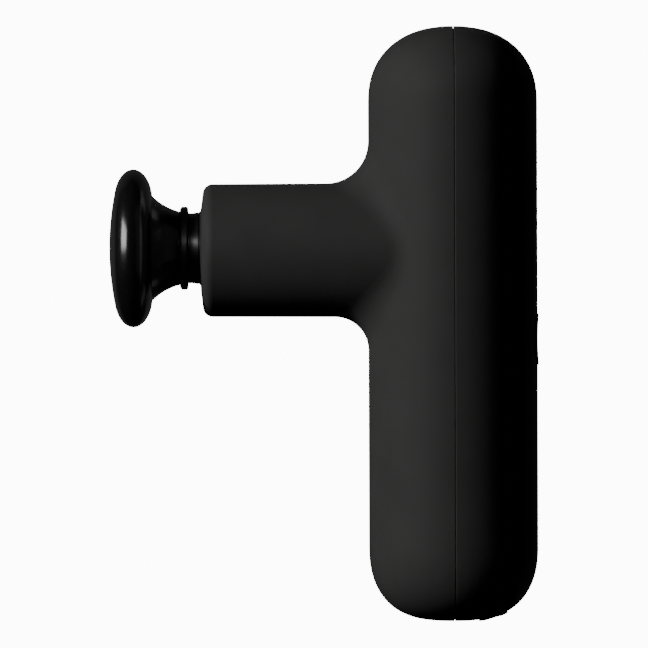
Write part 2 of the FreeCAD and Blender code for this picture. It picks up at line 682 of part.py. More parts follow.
def port_collar():
    band = handle_form(-COLLAR_PROUD).cut(handle_form(COLLAR_DEPTH - SLIP / 2))
    outside = slot_prism(USB_X, COLLAR_HALF_L, COLLAR_HALF_W, BOTTOM_Z - 5, 0)
    return band.common(outside.cut(usb_window(SLIP, BOTTOM_Z - 6, 1)))


def light_pipes():
    pipes = []
    for z in light_places():
        start = BOARD_REAR_X + LED_H + SLIP
        pipes.append(cylinder(LIGHT_R, HANDLE_R, V(start, 0, z), X).common(handle_form(0)))
    return Part.makeCompound(pipes)


def shell_screws():
    made = []
    for y, z in shell_screw_places():
        seat = V(SHELL_SCREW_HEAD_X, y, z)
        made.append(screw(SHELL_SCREW_LENGTH, SHELL_SCREW_R, SHELL_HEAD_R, SHELL_HEAD_H, seat, -X))
    return Part.makeCompound(made)


# ---- Button --------------------------------------------------------------------------------------
def power_button():
    cap = cylinder(BUTTON_R, HANDLE_R, V(CAP_X, 0, BUTTON_Z), X)
    cap = cap.common(handle_form(-BUTTON_PROUD))
    dish_x = HANDLE_R + BUTTON_PROUD - BUTTON_DISH + BUTTON_DISH_R
    cap = cap.cut(Part.makeSphere(BUTTON_DISH_R, V(dish_x, 0, BUTTON_Z)))
    stem_x = SWITCH_TOP_X + ACTUATOR_H + SEAT
    stem = cylinder(BUTTON_STEM_R, CAP_X + SLIP - stem_x, V(stem_x, 0, BUTTON_Z), X)
    return cap.fuse(stem).removeSplitter()


def power_switch():
    half = SWITCH_SIZE / 2
    case = block((BOARD_REAR_X, -half, BUTTON_Z - half), (SWITCH_TOP_X, half, BUTTON_Z + half))
    upright = [e for e in case.Edges if abs(e.BoundBox.XLength - SWITCH_H) < 1e-6]
    case = case.makeFillet(0.6, upright)
    well = cylinder(ACTUATOR_R + SLIP, SWITCH_H, V(SWITCH_TOP_X - SWITCH_WELL, 0, BUTTON_Z), X)
    return case.cut(well)


def switch_actuator():
    start = V(SWITCH_TOP_X - ACTUATOR_ROOT, 0, BUTTON_Z)
    return cylinder(ACTUATOR_R, ACTUATOR_H + ACTUATOR_ROOT, start, X)


# ---- Neck fittings -------------------------------------------------------------------------------
def dust_boot():
    """Silicone boot: a smooth cuff on the plunger, a crease and a skirt that lies against the neck."""
    front = PLUNGER_FRONT_X
    crease_x = FACE_X - SKIRT_T
    skirt_x = FACE_X - SEAT
    wall_end = FACE_X + NECK_FRONT_WALL
    inside_r = NECK_OPENING_R - SLIP
    return turned_on_neck(
        [
            (front, BOOT_BORE_R),
            (front, BOOT_R - CUFF_ROUND),
            (front + CUFF_ROUND, BOOT_R),
            (crease_x - 2 * BOOT_CREASE, BOOT_R),
            (crease_x - BOOT_CREASE, BOOT_R + BOOT_CREASE / 2),
            (crease_x, BOOT_R - BOOT_CREASE / 2),
            (crease_x + BOOT_CREASE, BOOT_R + 2 * BOOT_CREASE),
            (skirt_x - BOOT_CREASE, SKIRT_R - BOOT_CREASE),
            (skirt_x, SKIRT_R),
            (skirt_x, inside_r),
            (wall_end + SEAT, inside_r),
            (wall_end + SEAT, BOOT_FLANGE_R),
            (wall_end + BOOT_FLANGE_T, BOOT_FLANGE_R),
            (wall_end + BOOT_FLANGE_T, BOOT_BORE_R),
        ]
    )


def boot_retainer():
    x = SLEEVE_FRONT_X - RETAINER_T
    return ring(SLEEVE_FLANGE_R, BOOT_BORE_R + 0.6, RETAINER_T, V(x, 0, NECK_Z), X)


def sleeve_screw_places():
    places = []
    for i in range(4):
        turn = math.radians(45 + 90 * i)
        r = SLEEVE_R + SEAT
        places.append((r * math.cos(turn), NECK_Z + r * math.sin(turn)))
    return places


def guide_sleeve():
    tube = ring(SLEEVE_R, BUSH_R + SEAT, PLATE_X - SLEEVE_FRONT_X, V(SLEEVE_FRONT_X, 0, NECK_Z), X)
    flange_x = PLATE_X - SLEEVE_FLANGE_T
    flange = ring(SLEEVE_FLANGE_R, BUSH_R + SEAT, SLEEVE_FLANGE_T, V(flange_x, 0, NECK_Z), X)
    pads = []
    for y, z in sleeve_screw_places():
        pads.append(cylinder(SMALL_HEAD_R, 2 * SLEEVE_FLANGE_T, V(PLATE_X - 2 * SLEEVE_FLANGE_T, y, z), X))
    body = fuse([tube, flange] + pads)
    body = body.cut(cylinder(BUSH_R + SEAT, NECK_REACH, V(SLEEVE_FRONT_X, 0, NECK_Z), X))
    for y, z in sleeve_screw_places():
        depth = SLEEVE_SCREW_LENGTH - FRAME_T
        body = body.cut(cylinder(SMALL_SCREW_R + SEAT, depth, V(PLATE_X - depth, y, z), X))
    return body


def guide_bush(setback):
    bush = ring(BUSH_R, PLUNGER_R + RUNNING, BUSH_LENGTH, V(FACE_X + setback, 0, NECK_Z), X)
    rims = [e for e in bush.Edges if e.BoundBox.XLength < 1e-6 and e.BoundBox.ZLength > 2 * PLUNGER_R + 1]
    return bush.makeChamfer(0.3, rims)


def neck_damping_rings():
    rings = []
    for setback in (FRONT_DAMPER_SETBACK, REAR_DAMPER_SETBACK):
        at = V(FACE_X + setback, 0, NECK_Z)
        rings.append(ring(NECK_BORE_R - SEAT, SLEEVE_R + SEAT, DAMPER_LENGTH, at, X))
    return Part.makeCompound(rings)


def sleeve_screws():
    made = []
    for y, z in sleeve_screw_places():
        seat = V(FRAME_X, y, z)
        made.append(screw(SLEEVE_SCREW_LENGTH, SMALL_SCREW_R, SMALL_HEAD_R, SMALL_HEAD_H, seat, -X))
    return Part.makeCompound(made)


# ---- Drive frame ---------------------------------------------------------------------------------
def motor_screw_places():
    places = []
    for i in range(4):
        turn = math.radians(45 + 90 * i)
        places.append((CRANK_X + MOTOR_SCREW_RING * math.cos(turn), MOTOR_SCREW_RING * math.sin(turn)))
    return places


def drive_frame():
    """Bracket: an upright plate behind the neck and a deck above the crank that carries the motor."""
    upright = rounded_prism(PLATE_X, FRAME_X, FRAME_HALF_W, NECK_Z - FRAME_DROP, BASE_Z, FRAME_CORNER)
    deck = cylinder(DECK_R, FRAME_T, V(CRANK_X, 0, DECK_Z))
    bridge_w = FRAME_HALF_W - FRAME_CORNER
    bridge = block((PLATE_X, -bridge_w, DECK_Z), (CRANK_X, bridge_w, BASE_Z))
    brace_w = FRAME_SCREW_Y - SMALL_HEAD_R - 2 * SLIP
    corner = [(0, 0), (0, -BRACE), (BRACE, 0)]
    corner = [V(FRAME_X + x, -brace_w, DECK_Z + z) for x, z in corner]
    brace = Part.Face(Part.makePolygon(corner + corner[:1])).extrude(V(0, 2 * brace_w, 0))
    frame = fuse([upright, deck, bridge, brace])
    frame = frame.cut(cylinder(BUSH_R + SEAT, HANDLE_R, V(-HANDLE_R, 0, NECK_Z), X))
    frame = frame.cut(cylinder(MOTOR_TUBE_R + SLIP, 2 * FRAME_T, V(CRANK_X, 0, DECK_Z - FRAME_T / 2)))
    for y, z in frame_screw_places() + sleeve_screw_places():
        frame = frame.cut(cylinder(SMALL_SCREW_R + SLIP, FRAME_T, V(PLATE_X, y, z), X))
    for x, y in motor_screw_places():
        frame = frame.cut(cylinder(SMALL_SCREW_R + SLIP, FRAME_T, V(x, y, DECK_Z)))
    return frame


def frame_screws():
    made = []
    for y, z in frame_screw_places():
        seat = V(FRAME_X, y, z)
        made.append(screw(FRAME_SCREW_LENGTH, SMALL_SCREW_R, SMALL_HEAD_R, SMALL_HEAD_H, seat, -X))
    return Part.makeCompound(made)


def frame_grommets():
    made = []
    for y, z in frame_screw_places():
        at = V(PLATE_X - GROMMET_T, y, z)
        pad = ring(GROMMET_R - SLIP, SMALL_SCREW_R + SLIP, GROMMET_T, at, X)
        made.append(pad.common(handle_form(WALL + SEAT)))
    return Part.makeCompound(made)


# ---- Motor ---------------------------------------------------------------------------------------
def motor_base():
    disc = cylinder(MOTOR_BASE_R, MOTOR_BASE_T, V(CRANK_X, 0, BASE_Z))
    tube = cylinder(MOTOR_TUBE_R, TUBE_TOP_Z - BASE_Z, V(CRANK_X, 0, BASE_Z))
    body = fuse([disc, tube])
    body = body.cut(cylinder(PIN_R + 1, TUBE_TOP_Z, V(CRANK_X, 0, 0)))
    for z in bearing_places():
        body = body.cut(cylinder(BEARING_R + SEAT, BEARING_T, V(CRANK_X, 0, z)))
    for x, y in motor_screw_places():
        body = body.cut(cylinder(SMALL_SCREW_R + SEAT, MOTOR_BASE_T, V(x, y, BASE_Z)))
    return body


def bearing_places():
    return (BASE_Z, TUBE_TOP_Z - BEARING_T)


def ball_bearing(bore, outer, width, centre, balls):
    """Inner ring, outer ring and balls, as separate solids."""
    wall = (outer - bore) * 0.3
    base = centre - Z * (width / 2)
    pieces = [ring(bore + wall, bore, width, base), ring(outer, outer - wall, width, base)]
    ball_r = (outer - bore - 2 * wall) / 2
    track = (outer + bore) / 2
    for i in range(balls):
        turn = 2 * math.pi * i / balls
        at = centre + V(track * math.cos(turn), track * math.sin(turn), 0)
        pieces.append(Part.makeSphere(ball_r - 0.01, at))
    return Part.makeCompound(pieces)


def motor_bearings():
    made = []
    for z in bearing_places():
        centre = V(CRANK_X, 0, z + BEARING_T / 2)
        made.append(ball_bearing(PIN_R + RUNNING, BEARING_R, BEARING_T, centre, 7))
    return Part.makeCompound(made)


def motor_base_screws():
    made = []
    for x, y in motor_screw_places():
        length = FRAME_T + MOTOR_BASE_T
        made.append(screw(length, SMALL_SCREW_R, SMALL_HEAD_R, SMALL_HEAD_H, V(x, y, DECK_Z), Z))
    return Part.makeCompound(made)


def stator_core():
    hub_r = MOTOR_TUBE_R + 1.2
    core = cylinder(hub_r, STATOR_H, V(CRANK_X, 0, CORE_Z))
    parts = [core]
    for i in range(SLOTS):
        arm = block((0, -TOOTH_W / 2, CORE_Z), (STATOR_R - SHOE_T / 2, TOOTH_W / 2, CORE_Z + STATOR_H))
        shoe = ring(STATOR_R, STATOR_R - SHOE_T, STATOR_H, V(0, 0, CORE_Z))
        shoe_w = 2 * math.pi * STATOR_R / SLOTS * 0.4
        shoe = shoe.common(block((0, -shoe_w, CORE_Z), (STATOR_R + 1, shoe_w, CORE_Z + STATOR_H)))
        tooth = arm.fuse(shoe)
        tooth.rotate(V(0, 0, 0), Z, 360 / SLOTS * i)
        tooth.translate(V(CRANK_X, 0, 0))
        parts.append(tooth)
    return fuse(parts).cut(cylinder(MOTOR_TUBE_R + SEAT, STATOR_H, V(CRANK_X, 0, CORE_Z)))


def stator_windings():
    """One copper coil round each tooth."""
    coils = []
    start = MOTOR_TUBE_R + COIL_T + 1
    end = STATOR_R - SHOE_T - COIL_T / 3
    for i in range(SLOTS):
        half_w = TOOTH_W / 2 + SEAT
        low = (start, -half_w - COIL_T, CORE_Z - COIL_T)
        outer = block(low, (end, half_w + COIL_T, CORE_Z + STATOR_H + COIL_T))
        along = [e for e in outer.Edges if abs(e.BoundBox.XLength - (end - start)) < 1e-6]
        outer = outer.makeFillet(COIL_T * 0.9, along)
        slot = block((start, -half_w, CORE_Z - SEAT), (end, half_w, CORE_Z + STATOR_H + SEAT))
        half_wedge = MOTOR_R * HALF_SLOT
        fan = [V(0, 0, 0), V(MOTOR_R, half_wedge, 0), V(MOTOR_R, -half_wedge, 0)]
        wedge = Part.Face(Part.makePolygon(fan + fan[:1])).extrude(V(0, 0, 3 * STATOR_H))
        wedge.translate(V(0, 0, CORE_Z - STATOR_H))
        coil = outer.cut(slot).common(wedge)
        coil.rotate(V(0, 0, 0), Z, 360 / SLOTS * i)
        coil.translate(V(CRANK_X, 0, 0))
        coils.append(coil)
    return Part.makeCompound(coils)


def rotor_can():
    """Bell with a spoked lid, pressed on the shaft."""
    wall = ring(MOTOR_R, CAN_BORE_R, CAN_HEIGHT, V(CRANK_X, 0, CAN_Z))
    lid_z = CAN_TOP_Z - LID_T
    lid = cylinder(MOTOR_R, LID_T, V(CRANK_X, 0, lid_z))
    hub = cylinder(LID_HUB_R, CAN_TOP_Z - TUBE_TOP_Z - 0.5, V(CRANK_X, 0, TUBE_TOP_Z + 0.5))
    can = fuse([wall, lid, hub])
    can = can.makeFillet(0.8, [e for e in can.Edges if is_circle_at(e, CAN_TOP_Z, MOTOR_R)])
    window_r = (LID_HUB_R + CAN_BORE_R) / 2
    for i in range(CAN_WINDOWS):
        turn = 2 * math.pi * i / CAN_WINDOWS
        at = V(CRANK_X + window_r * math.cos(turn), window_r * math.sin(turn), lid_z)
        can = can.cut(cylinder(CAN_WINDOW_R, LID_T, at))
    return can.cut(cylinder(PIN_R + PRESSED, CAN_HEIGHT, V(CRANK_X, 0, CAN_Z)))


def is_circle_at(edge, z, radius):
    box = edge.BoundBox
    return abs(box.ZMin - z) < 1e-4 and abs(box.ZMax - z) < 1e-4 and abs(box.XLength - 2 * radius) < 1e-3


def rotor_magnets():
    made = []
    height = STATOR_H + 2 * MAGNET_OVERHANG
    z = CORE_Z - MAGNET_OVERHANG
    band = ring(CAN_BORE_R - SEAT, CAN_BORE_R - MAGNET_T, height, V(0, 0, z))
    for i in range(POLES):
        half = math.pi * CAN_BORE_R / POLES * 0.88
        magnet = band.common(block((0, -half, z), (MOTOR_R, half, z + height)))
        magnet.rotate(V(0, 0, 0), Z, 360 / POLES * (i + 0.5))
        magnet.translate(V(CRANK_X, 0, 0))
        made.append(magnet)
    return Part.makeCompound(made)


def motor_shaft():
    shaft = cylinder(PIN_R, CAN_TOP_Z + 0.6 - CRANK_Z, V(CRANK_X, 0, CRANK_Z))
    ends = [e for e in shaft.Edges if e.BoundBox.ZLength < 1e-6]
    return shaft.makeChamfer(0.3, ends)


# ---- Crank ---------------------------------------------------------------------------------------
def counterweight_screw_places():
    places = []
    for side in (-1, 1):
        turn = math.radians(180 + side * COUNTERWEIGHT_SPAN / 4)
        r = CRANK_DISC_R * 0.72
        places.append((CRANK_X + r * math.cos(turn), r * math.sin(turn)))
    return places


def grub_place():
    return V(CRANK_X + PIN_R + SEAT, 0, CRANK_Z + CRANK_HUB_H - 1.9 * GRUB_R)


def crank_disc():
    disc = cylinder(CRANK_DISC_R, CRANK_DISC_T, V(CRANK_X, 0, CRANK_Z))
    hub = cylinder(CRANK_HUB_R, CRANK_HUB_H, V(CRANK_X, 0, CRANK_Z))
    boss = cylinder(PIN_R + 2, CRANK_DISC_T + 2.2, V(CRANK_PIN_X + 1.2, 0, CRANK_Z))
    crank = fuse([disc, hub, boss])
    crank = crank.cut(cylinder(PIN_R + PRESSED, CRANK_HUB_H, V(CRANK_X, 0, CRANK_Z)))
    crank = crank.cut(cylinder(GRUB_R, CRANK_HUB_R + PIN_R, grub_place(), X))
    for x, y in counterweight_screw_places():
        crank = crank.cut(cylinder(SMALL_SCREW_R + SEAT, CRANK_DISC_T, V(x, y, CRANK_Z)))
    return crank


def counterweight():
    z = CRANK_Z + CRANK_DISC_T
    whole = ring(CRANK_DISC_R, CRANK_HUB_R + 0.6, COUNTERWEIGHT_T, V(0, 0, z))
    half_span = math.radians(COUNTERWEIGHT_SPAN / 2)
    far = 3 * CRANK_DISC_R
    tip_y = far * math.sin(half_span)
    tip_x = -far * math.cos(half_span)
    fan = Part.makePolygon([V(0, 0, z), V(tip_x, tip_y, z), V(-far, 0, z), V(tip_x, -tip_y, z), V(0, 0, z)])
    sector = Part.Face(fan).extrude(V(0, 0, COUNTERWEIGHT_T))
    weight = whole.common(sector)
    weight.translate(V(CRANK_X, 0, 0))
    for x, y in counterweight_screw_places():
        weight = weight.cut(cylinder(SMALL_SCREW_R + SLIP, COUNTERWEIGHT_T, V(x, y, z)))
    return weight


def counterweight_screws():
    made = []
    length = COUNTERWEIGHT_T + CRANK_DISC_T
    z = CRANK_Z + length
    for x, y in counterweight_screw_places():
        made.append(screw(length, SMALL_SCREW_R, SMALL_HEAD_R, SMALL_HEAD_H, V(x, y, z), -Z))
    return Part.makeCompound(made)


def crank_grub_screw():
    at = grub_place()
    length = CRANK_HUB_R - PIN_R - SLIP
    grub = cylinder(GRUB_R - SEAT, length, at, X)
    return grub.cut(cylinder(GRUB_R / 2, GRUB_R, at + X * (length - GRUB_R), X))


# ---- Connecting rod ------------------------------------------------------------------------------
def connecting_rod():
    big = cylinder(BIG_END_R, ROD_T, V(CRANK_PIN_X, 0, NECK_Z - ROD_T / 2))
    small = cylinder(SMALL_END_R, ROD_T, V(WRIST_X, 0, NECK_Z - ROD_T / 2))
    half_w = ROD_WEB_W / 2
    low = NECK_Z - ROD_T / 2
    high = NECK_Z + ROD_T / 2
    shank = block((WRIST_X, -half_w, low + 0.4), (CRANK_PIN_X, half_w, high - 0.4))
    rod = fuse([big, small, shank])
    pocket_start = WRIST_X + SMALL_END_R + 1.5
    pocket_end = CRANK_PIN_X - BIG_END_R - 1.5
    for z0, z1 in ((low, NECK_Z - ROD_WEB_T / 2), (NECK_Z + ROD_WEB_T / 2, high)):
        rod = rod.cut(block((pocket_start, ROD_RIB - half_w, z0), (pocket_end, half_w - ROD_RIB, z1)))
    rod = rod.cut(cylinder(CRANK_BEARING_R + SEAT, ROD_T, V(CRANK_PIN_X, 0, low)))
    return rod.cut(cylinder(PIN_R + RUNNING, ROD_T, V(WRIST_X, 0, low)))


def crank_pin_bearing():
    return ball_bearing(PIN_R + SEAT, CRANK_BEARING_R, CRANK_BEARING_T, V(CRANK_PIN_X, 0, NECK_Z), 8)


def crank_pin():
    """Headed pin. Its free end stops OPEN_PIVOT short of the crank disc."""
    below = CRANK_BEARING_T / 2 + SEAT
    shank = cylinder(PIN_R, CRANK_LIFT - OPEN_PIVOT + below, V(CRANK_PIN_X, 0, NECK_Z - below))
    head = cylinder(PIN_R + PIN_HEAD_H, PIN_HEAD_H, V(CRANK_PIN_X, 0, NECK_Z - below - PIN_HEAD_H))
    return shank.fuse(head)


# ---- Plunger -------------------------------------------------------------------------------------
def plunger_tube():
    length = PLUNGER_REAR_X - PLUNGER_FRONT_X
    tube = cylinder(PLUNGER_R, length, V(PLUNGER_FRONT_X, 0, NECK_Z), X)
    rims = [e for e in tube.Edges if e.BoundBox.XLength < 1e-6]
    tube = tube.makeChamfer(0.4, rims)
    tube = tube.cut(cylinder(SOCKET_R, SOCKET_DEPTH, V(PLUNGER_FRONT_X, 0, NECK_Z), X))
    bore_x = PLUNGER_FRONT_X + SOCKET_DEPTH + SOCKET_WEB
    tube = tube.cut(cylinder(TAIL_BORE_R, PLUNGER_REAR_X - bore_x, V(bore_x, 0, NECK_Z), X))
    return tube.cut(cylinder(PIN_R + PRESSED, 3 * PLUNGER_R, V(WRIST_X, 0, NECK_Z - 1.5 * PLUNGER_R)))


def wrist_pin():
    length = 2 * PLUNGER_R - 1.0
    return cylinder(PIN_R, length, V(WRIST_X, 0, NECK_Z - length / 2))


# ---- Massage head --------------------------------------------------------------------------------
def massage_head():
    """Mushroom head: shallow dome, elliptical rim and a trumpet down to the flange."""
    tip = FLANGE_X - TRUMPET_LENGTH - HEAD_THICKNESS
    rim_x = tip + RIM_SETBACK
    rim_r = HEAD_R - RIM_HALF_H

    def rim_point(turn):
        return V(rim_x + RIM_HALF_T * math.cos(turn), 0, rim_r + RIM_HALF_H * math.sin(turn))

    def dome_x(r):
        return tip + DOME_R - math.sqrt(DOME_R**2 - r**2)

    front = math.radians(160)
    back = math.radians(8)
    meet = rim_point(front)
    shift = dome_x(meet.z) - meet.x
    gate_edge = V(dome_x(GATE_FLAT_R) - shift, 0, GATE_FLAT_R)
    gate_middle = V(gate_edge.x, 0, 0)
    middle_r = meet.z * 0.5
    dome = arc(gate_edge, V(dome_x(middle_r) - shift, 0, middle_r), meet)
    middle = V(rim_x, 0, rim_r)
    ellipse = Part.Ellipse(middle + V(0, 0, RIM_HALF_H), middle + V(RIM_HALF_T, 0, 0), middle)
    rim = best_arc(ellipse, meet, rim_point(math.radians(90)), rim_point(back))
    shoulder = rim_point(back)
    root = V(FLANGE_X, 0, TRUMPET_R)
    chord_middle = (shoulder + root) * 0.5
    trumpet = arc(shoulder, chord_middle - V(0.5, 0, 1).normalize() * TRUMPET_SAG, root)
    back_middle = V(FLANGE_X, 0, 0)
    closing = [Part.makeLine(root, back_middle), Part.makeLine(back_middle, gate_middle)]
    closing.append(Part.makeLine(gate_middle, gate_edge))
    outline = Part.Wire(Part.__sortEdges__([dome, rim, trumpet] + closing))
    head = Part.Face(outline).revolve(V(0, 0, 0), X, 360)
    head.translate(V(0, 0, NECK_Z))
    core_x = FLANGE_X - STEM_CORE_LENGTH - SLIP
    return head.cut(cylinder(STEM_CORE_R + SEAT, STEM_CORE_LENGTH + SLIP, V(core_x, 0, NECK_Z), X))


def best_arc(ellipse, start, through, end):
    """The arc of the ellipse from start to end that passes through the given point."""
    a = ellipse.parameter(start)
    b = ellipse.parameter(end)
    for first, last in ((a, b), (b, a)):
        if last < first:
            last += 2 * math.pi
        edge = ellipse.toShape(first, last)
        if edge.distToShape(Part.Vertex(through))[0] < 1e-3:
            return edge
    raise ValueError("the rim's points are not on the ellipse")


def head_stem():
    """Moulded insert: core inside the head, gripping flange, and the stem that plugs into the plunger."""
    x = FLANGE_X
    flange_end = x + FLANGE_T
    recess_r = BOOT_R + RECESS_PLAY
    tip = FLANGE_SEAT_X + STEM_LENGTH
    stem = turned_on_neck(
        [
            (x - STEM_CORE_LENGTH, 0),
            (x - STEM_CORE_LENGTH, STEM_CORE_R),
            (x, STEM_CORE_R),
            (x, FLANGE_R - FLANGE_DRAFT - 0.3),
            (x + FLANGE_DRAFT, FLANGE_R - 0.15),
            (x + FLANGE_DRAFT + 0.2, FLANGE_R),
            (flange_end - 0.35, FLANGE_R),
            (flange_end - 0.1, FLANGE_R - 0.25),
            (flange_end, FLANGE_R - 0.6),
            (flange_end, recess_r),
            (FLANGE_SEAT_X, recess_r),
            (FLANGE_SEAT_X, STEM_R),
            (tip - STEM_LEAD_IN, STEM_R),
            (tip, STEM_R - STEM_LEAD_IN / 2),
            (tip, 0),
        ]
    )
    for x in o_ring_places():
        groove_x = x - O_RING_R - SEAT
        width = 2 * (O_RING_R + SEAT)
        stem = stem.cut(ring(STEM_R + 1, O_RING_TRACK - O_RING_R, width, V(groove_x, 0, NECK_Z), X))
    return stem


def o_ring_places():
    first = FLANGE_SEAT_X + O_RING_SETBACK
    return (first, first + O_RING_SPACING)


def stem_o_rings():
    made = []
    for x in o_ring_places():
        made.append(Part.makeTorus(O_RING_TRACK, O_RING_R - SEAT / 2, V(x, 0, NECK_Z), X))
    return Part.makeCompound(made)


# ---- Battery -------------------------------------------------------------------------------------
def battery_cell(side):
    """Steel can with a crimp groove and a raised terminal at its upper end."""
    base = V(0, side * CELL_Y, CELL_BASE_Z)
    length = CELL_LENGTH - CELL_TERMINAL_H
    can = cylinder(CELL_R, length, base)
    can = can.makeFillet(0.8, [e for e in can.Edges if e.BoundBox.ZLength < 1e-6])
    groove = Part.makeTorus(CELL_R + CRIMP_R / 2, CRIMP_R, base + Z * (length - CRIMP_DROP), Z)
    terminal = cylinder(CELL_TERMINAL_R, CELL_TERMINAL_H, base + Z * length)
    return can.cut(groove).fuse(terminal)


def pair_prism(grow, z0, z1):
    """Prism round both cells: a slot that is long in Y."""
    return slot_prism(0, CELL_Y + CELL_R + grow, CELL_R + grow, z0, z1)


def battery_wrap():
    z0 = CELL_BASE_Z + 0.5
    z1 = CELL_TOP_Z - CELL_TERMINAL_H - 0.5
    outside = pair_prism(SEAT * 2 + WRAP_T, z0, z1)
    return outside.cut(pair_prism(SEAT * 2, z0, z1))


def nickel_straps():
    """Strip that joins the cells below, and two tabs above."""
    straps = []
    z = CELL_BASE_Z - STRAP_T
    straps.append(block((-STRAP_HALF_W, -CELL_Y - 4, z), (STRAP_HALF_W, CELL_Y + 4, z + STRAP_T)))
    for side in (-1, 1):
        y = side * CELL_Y
        low = (-TAB_HALF_W, y - TAB_HALF_W, CELL_TOP_Z)
        straps.append(block(low, (TAB_END_X, y + TAB_HALF_W, CELL_TOP_Z + STRAP_T)))
    return Part.makeCompound(straps)


def cell_holder(z0, up):
    """End plate with two pegs in the hollows between the cells."""
    plate = cylinder(HOLDER_R, HOLDER_T, V(0, 0, z0))
    keep = block((HOLDER_FRONT_X, -HANDLE_R, z0 - 10), (HOLDER_REAR_X, HANDLE_R, z0 + HOLDER_T + 10))
    pegs = []
    for side in (-1, 1):
        base_z = z0 + HOLDER_T if up else z0 - PEG_LENGTH
        pegs.append(cylinder(PEG_R, PEG_LENGTH, V(side * PEG_X, 0, base_z)))
    holder = fuse([plate] + pegs).common(keep)
    if not up:
        for x, y in tab_lead_places():
            holder = holder.cut(cylinder(WIRE_R + SLIP, HOLDER_T, V(x, y, z0)))
    return holder


def battery_pad():
    x = PACK_FACE_X - SEAT
    return block((x - BATTERY_PAD_T, -PAD_HALF_W, PAD_LOW_Z), (x, PAD_HALF_W, PAD_HIGH_Z))


# ---- Control board -------------------------------------------------------------------------------
def main_board():
    rear = BOARD_REAR_X
    wide = rounded_prism(BOARD_X, rear, BOARD_HALF_W, BOARD_STEP_Z, BOARD_TOP_Z, BOARD_CORNER)
    foot = block((BOARD_X, -BOARD_FOOT_HALF_W, BOARD_FOOT_Z), (rear, BOARD_FOOT_HALF_W, BOARD_STEP_Z + 1))
    board = fuse([wide, foot])
    for y, z in board_screw_places():
        board = board.cut(cylinder(SMALL_SCREW_R + SLIP, BOARD_T, V(BOARD_X, y, z), X))
    return board


def board_screws():
    made = []
    for y, z in board_screw_places():
        seat = V(BOARD_X, y, z)
        made.append(screw(BOARD_SCREW_LENGTH, SMALL_SCREW_R, SMALL_HEAD_R, SMALL_HEAD_H, seat, X))
    return Part.makeCompound(made)


def on_board(y, z, width, height, rise):
    """Component on the board's rear face, centred on y and z."""
    x = BOARD_REAR_X
    return block((x, y - width / 2, z - height / 2), (x + rise, y + width / 2, z + height / 2))


def board_components():
    controller = on_board(0, 14, 6, 6, 0.9)
    driver = on_board(-7, 14, 4, 5, 0.9)
    charger = on_board(4.5, -14, 4, 4, 0.9)
    inductor = on_board(-5, -13, 5, 5, 2.4)
    inductor = inductor.makeFillet(0.8, [e for e in inductor.Edges if e.BoundBox.XLength > 1])
    capacitors = [
        cylinder(1.8, 3.2, V(BOARD_REAR_X, side * 5.5, 6.5), X) for side in (-1, 1)
    ]
    bank = [on_board(7 + 1.6 * i, 20, 0.9, 1.6, 0.6) for i in range(3)]
    sense = [on_board(-8.5, 4 - 2.6 * i, 1.8, 1.0, 0.6) for i in range(4)]
    return Part.makeCompound([controller, driver, charger, inductor] + capacitors + bank + sense)


def status_leds():
    return Part.makeCompound([on_board(0, z, LED_SIZE, LED_SIZE, LED_H) for z in light_places()])


def wire_connectors():
    """Two sockets at the board's upper edge, for the battery and for the motor."""
    made = []
    for y, ways in ((BATTERY_PLUG_Y, 2), (MOTOR_PLUG_Y, 3)):
        width = LEAD_SPACING * ways + PLUG_MARGIN
        made.append(on_board(y, PLUG_TOP_Z - PLUG_H / 2, width, PLUG_H, 2 * PLUG_MIDDLE))
    return Part.makeCompound(made)


def usb_socket():
    """Folded metal shell with its contact tongue."""
    top = USB_MOUTH_Z + USB_LENGTH
    shell = usb_window(0, USB_MOUTH_Z, top).cut(usb_window(-USB_SKIN, USB_MOUTH_Z - 1, top - USB_BACK))
    half_w = USB_W / 2 - USB_BACK
    low = (USB_X - USB_SKIN, -half_w, USB_MOUTH_Z + USB_BACK)
    tongue = block(low, (USB_X + USB_SKIN, half_w, top - USB_BACK))
    return fuse([shell, tongue])


# ---- Wires ---------------------------------------------------------------------------------------
def motor_leads():
    """From the windings out under the can, down past the crank and into the board's plug."""
    leads = []
    plug_x = BOARD_REAR_X + PLUG_MIDDLE
    z = BASE_Z + MOTOR_BASE_T + CAN_LIFT / 2
    for i in range(3):
        turn = math.radians(LEAD_ANGLE + LEAD_STEP * i)
        outward = V(math.cos(turn), math.sin(turn), 0)
        inner = V(CRANK_X, 0, z) + outward * LEAD_START_R
        corner = V(CRANK_X, 0, z) + outward * LEAD_RING
        drop = V(corner.x, corner.y, PLUG_TOP_Z + LEAD_DROP)
        plug_y = MOTOR_PLUG_Y + LEAD_SPACING * (i - 1)
        above = V(plug_x, plug_y, PLUG_TOP_Z + LEAD_DROP / 2)
        leads.append(wire([inner, corner, drop, above, V(plug_x, plug_y, PLUG_TOP_Z)], WIRE_R))
    return Part.makeCompound(leads)


def tab_lead_places():
    """Where the battery's two leads rise from the tabs, through the upper holder."""
    return [(TAB_END_X - WIRE_R - SLIP, side * (CELL_Y - TAB_HALF_W + WIRE_R + SLIP)) for side in (-1, 1)]


def battery_leads():
    leads = []
    start_z = CELL_TOP_Z + STRAP_T + SEAT
    plug_x = BOARD_REAR_X + PLUG_MIDDLE
    for i, (x, y) in enumerate(tab_lead_places()):
        plug_y = BATTERY_PLUG_Y - LEAD_SPACING / 2 + LEAD_SPACING * i
        crest = start_z + LEAD_CREST
        route = [V(x, y, start_z), V(x, y, crest), V(plug_x, plug_y, crest), V(plug_x, plug_y, PLUG_TOP_Z)]
        leads.append(wire(route, WIRE_R))
    return Part.makeCompound(leads)


OUTER = outer_form()
CAVITY = cavity_form()

